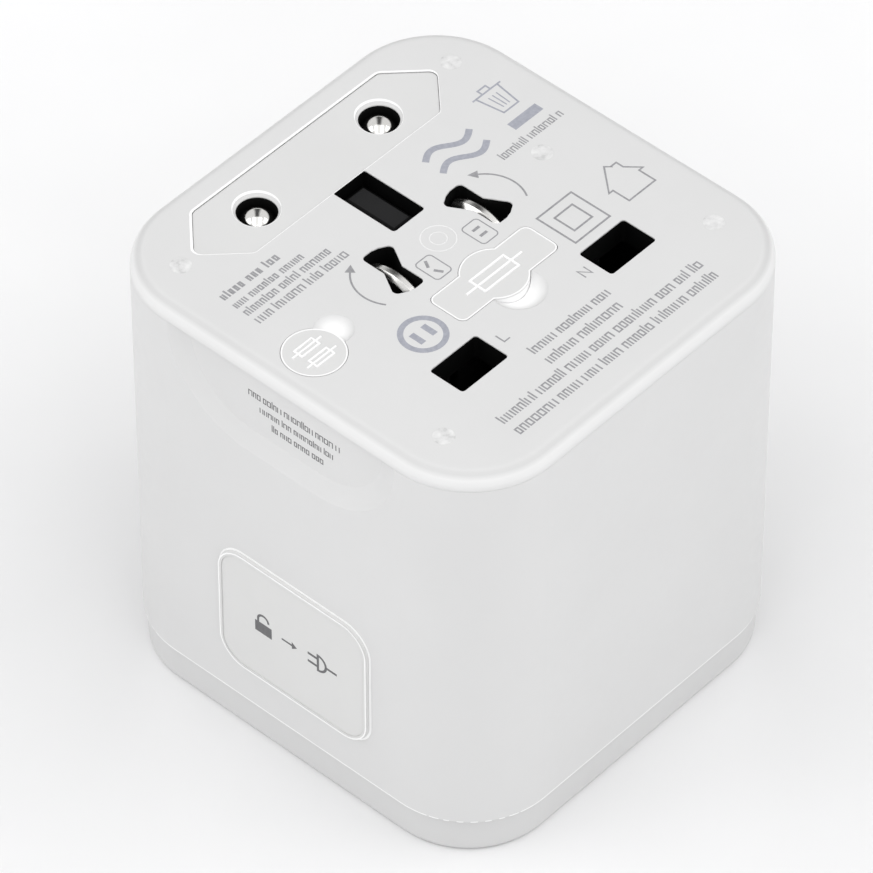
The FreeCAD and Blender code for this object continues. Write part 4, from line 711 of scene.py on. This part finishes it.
# Each row's left and right ends, foot, top and width of stroke.
ROWS = ((-20.8, -12.6, 11.7, 12.8, 0.22), (-20.8, -10.2, 10.0, 11.0, 0.17),
        (-20.8, -8.5, 8.5, 9.6, 0.17), (-20.8, -7.3, 6.9, 8.1, 0.17),
        (12.9, 21.9, 4.6, 5.7, 0.15), (-5.8, 5.8, -16.1, -14.9, 0.18),
        (-5.7, 5.7, -18.2, -16.9, 0.18), (-15, 15, -20.3, -19.0, 0.18),
        (-15, 15, -22.4, -21.1, 0.18))
lines = []
for row in ROWS:
    lines += tick_row(*row)
flat_piece("face_print_rows", lines, on_face, INK, ink_grey, "case")

thin = 0.2
symbols = []
for side in (-1, 1):
    shaft = [Vector((side * -point.x, point.y)) for point in arc((-6.9, 1.8), 4.3, 213, 128, 20)]
    tip = shaft[-1]
    symbols += ribbon(shaft, thin)
    heading = (shaft[-1] - shaft[-2]).normalized()
    beside = Vector((-heading.y, heading.x))
    symbols.append([tip - beside * 0.55, tip + heading * 1.1, tip + beside * 0.55])
# Two small plates show the blades' two ways: each bar's offset, height and turn in degrees.
SLANTED = ((-0.15, 0.3, 60), (-0.05, -1.2, -60))
LEVEL = ((0, 0.07, 0), (0, -0.96, 0))
for x0, x1, bars in ((-4.54, -2.29, SLANTED), (2.36, 4.68, LEVEL)):
    middle = (x0 + x1) / 2
    plate = softened(slab(x0, x1, -2.07, 1.14), 0.45)
    symbols += ribbon(plate, 0.13, closed=True)
    for dx, y, angle in bars:
        reach = Vector((math.cos(math.radians(angle)), math.sin(math.radians(angle)))) * 0.5
        spot = Vector((middle + dx, y))
        symbols += ribbon([spot - reach, spot + reach], 0.33)
for half in (2.6, 1.34):
    square = slab(11.3 - half, 11.3 + half, -6.08 - half, -6.08 + half)
    symbols += ribbon(square, 0.22, closed=True)
house = [(16.9, -8.64), (20.9, -8.64), (20.9, -6.46), (21.5, -6.46), (20.2, -4.95), (20.2, -4.0),
         (19.4, -4.0), (19.4, -4.05), (18.9, -3.5), (16.3, -6.46), (16.9, -6.46)]
symbols += ribbon([Vector(point) for point in house], 0.2, closed=True)
for x, letter in ((-6.5, "L"), (5.7, "N")):
    feet = [(x, -11.5), (x, -12.7), (x + 0.8, -12.7)] if letter == "L" else [
        (x, -12.7), (x, -11.5), (x + 0.95, -12.7), (x + 0.95, -11.5)]
    symbols += ribbon([Vector(point) for point in feet], 0.16)
flat_piece("face_print_symbols", symbols, on_face, INK, ink_grey, "case")

# Plain stand-ins for the approval marks: two alternating-current waves, a two-pin plug in a ring,
# and a bin over a solid bar.
marks = []
for level in (10.3, 7.9):
    wave = [Vector((7.3 + 6.6 * k / 24, level + 0.75 * math.sin(k * math.pi / 12))) for k in range(25)]
    marks += ribbon(wave, 0.72)
ring = arc((-11.1, -6.05), 2.3, 0, 360, 40)[:-1]
marks += ribbon(ring, 0.62, closed=True)
marks += [slab(-12.3, -11.6, -6.9, -5.2), slab(-10.6, -9.9, -6.9, -5.2)]
marks.append(slab(17.0, 21.2, 6.7, 7.9))
flat_piece("face_print_marks", marks, on_face, INK, ink_blue, "case")
can = ribbon([Vector(point) for point in ((17.6, 12.6), (18.1, 9.3), (20.3, 9.3), (20.8, 12.6))], thin)
can += ribbon([Vector((17.1, 12.7)), Vector((21.3, 12.7))], thin)
can += ribbon([Vector(point) for point in ((18.6, 12.8), (18.6, 13.4), (19.8, 13.4), (19.8, 12.8))], thin)
for x in (18.6, 19.2, 19.8):
    can += ribbon([Vector((x, 11.9)), Vector((x + (19.2 - x) * 0.25, 9.9))], 0.14)
flat_piece("face_print_bin", can, on_face, INK, ink_blue, "case")


# Rows of the same signs in the grip recess.
GRIP_DEPTH = 0.9


def in_grip(u, v, lift):
    return Vector((SIDE_X + (GRIP_DEPTH - lift) * MM, -u * MM, v * MM))


lines = []
for y0, y1, z0, z1 in ((-5.1, 7.0, 49.2, 50.2), (-3.6, 6.3, 47.6, 48.5), (-2.0, 5.4, 46.0, 46.9)):
    lines += tick_row(y0, y1, z0, z1, 0.11)
flat_piece("grip_print_rows", lines, in_grip, INK, ink_dark, "case")


# ---------------------------------------------------------------- moulding marks
# The injection gate leaves a shallow ring between the blades, and five ejector pins leave faint
# discs over the screw bosses.
gate_white = moulded("gate_mark_abs", (0.86, 0.86, 0.86), 0.3, grain=0.0, wander=0.01, edge=0.05)
gate = ribbon(arc((0, 1.95), 1.85, 0, 360, 40)[:-1], 0.14, closed=True)
gate += ribbon(arc((0, 1.95), 0.9, 0, 360, 28)[:-1], 0.12, closed=True)
flat_piece("gate_mark", gate, on_face, 0.01, gate_white, "case")
ejector_white, tree, shader, place = new_material("ejector_mark_abs")
blots = noise(tree, place, 1100, 3)
tint(tree, blots, (0.60, 0.60, 0.60), (0.80, 0.80, 0.80), shader, "Base Color")
spread(tree, blots, 0.2, 0.45, shader, "Roughness")
relief(tree, shader, [(blots, 0.5, 0.05 * MM)], 0.05 * MM)
BOSSES = ((-20.1, 18.4), (20.1, 18.4), (-20.2, -17.0), (20.2, -17.0), (16.3, 2.5))
for number, boss in enumerate(BOSSES, start=1):
    disc = arc(boss, 1.15, 0, 360, 32)[:-1]
    flat_piece(f"ejector_mark_{number}", [disc], on_face, 0.006, ejector_white, "case")


# ---------------------------------------------------------------- floor, light and camera
# A white sweep under broad soft light, seen from above one corner with a long lens.
sweep, tree, shader, place = new_material("white_paper_sweep")
fibre = noise(tree, place, 40, 2)
tint(tree, fibre, (0.93, 0.93, 0.935), (0.95, 0.95, 0.955), shader, "Base Color")
# Painted shadow: the paper is toned a tenth darker within 35 mm of the adapter, fading out by 130 mm.
paper_shadow_reach = tree.nodes.new("ShaderNodeVectorMath")
paper_shadow_reach.operation = "LENGTH"
link(tree, place, "Object", paper_shadow_reach, 0)
over(tree, "MULTIPLY", remap(tree, paper_shadow_reach, "Value", ((0.035, 0.9), (0.13, 1.0))), "Color", shader)
shader.inputs["Roughness"].default_value = 0.85

# Seen from below the paper is clear, and it has a hole under the adapter that lets light up to the
# socket face, so that face can be looked at too.
underside = tree.nodes.new("ShaderNodeNewGeometry")
clear = tree.nodes.new("ShaderNodeBsdfTransparent")
either = tree.nodes.new("ShaderNodeMixShader")
output = next(node for node in tree.nodes if node.type == "OUTPUT_MATERIAL")
link(tree, underside, "Backfacing", either, "Fac")
link(tree, shader, "BSDF", either, 1)
link(tree, clear, "BSDF", either, 2)
link(tree, either, "Shader", output, "Surface")
PAPER_REACH = 3000.0
PAPER_LEVEL = -0.02
sole = softened(slab(-23.6, 23.6, -24.4, 24.4), 8.5, 10)
mesh = bmesh.new()
for quad in rim(sole, 0.0, lambda out: PAPER_REACH):
    mesh.faces.new([mesh.verts.new(Vector((point.x, point.y, PAPER_LEVEL)) * MM) for point in quad])
bmesh.ops.remove_doubles(mesh, verts=mesh.verts, dist=1e-6)
floor = put("paper_floor", mesh, sweep)
if floor.data.polygons[0].normal.z < 0:
    floor.data.flip_normals()

world = bpy.data.worlds.new("white_studio")
world.use_nodes = True
sky = world.node_tree
sky.nodes["Background"].inputs["Strength"].default_value = 0.87
bpy.context.scene.world = world

# A black flag hangs over the camera, so polished metal shows a dark bar between two bright lobes.
bearing = sky.nodes.new("ShaderNodeTexCoord")
across = sky.nodes.new("ShaderNodeVectorMath")
across.operation = "DOT_PRODUCT"
link(sky, bearing, "Generated", across, 0)
across.inputs[1].default_value = (0.67, -0.74, 0.0)
aside = sky.nodes.new("ShaderNodeMath")
aside.operation = "ABSOLUTE"
link(sky, across, "Value", aside, 0)
flag = remap(sky, aside, "Value", ((0.1, 0.1), (0.24, 1.0)))
link(sky, flag, "Color", sky.nodes["Background"], "Color")
bpy.context.scene.view_settings.view_transform = "Standard"

centre = Vector((0, 0, FACE / 2))


def hang(name, data, aim, azimuth, elevation, distance):
    """A light or camera that faces a point from a bearing and height in degrees."""
    turn, rise = math.radians(azimuth), math.radians(elevation)
    back = Vector((math.sin(turn) * math.cos(rise), -math.cos(turn) * math.cos(rise), math.sin(rise)))
    holder = bpy.data.objects.new(name, data)
    holder.location = aim + back * distance
    holder.rotation_mode = "QUATERNION"
    holder.rotation_quaternion = (-back).to_track_quat("-Z", "Y")
    bpy.context.scene.collection.objects.link(holder)
    return holder


def softbox(name, azimuth, elevation, distance, size, power):
    """A square area light over the adapter."""
    lamp = bpy.data.lights.new(name, "AREA")
    lamp.size = size
    lamp.energy = power
    hang(name, lamp, centre, azimuth, elevation, distance)


softbox("overhead_box", -48, 74, 0.9, 0.9, 2.6)
softbox("front_box", -48, 32, 1.1, 0.7, 1.5)
softbox("left_box", -132, 38, 1.0, 0.6, 1.3)
softbox("right_box", 40, 38, 1.0, 0.6, 1.3)

camera_data = bpy.data.cameras.new("camera")
camera_data.lens = 309.9
camera_data.sensor_width = 36
aim = centre + Vector((-0.9, 1.4, 0.2)) * MM
bpy.context.scene.camera = hang("camera", camera_data, aim, -47.9, 45.64, 0.7705)
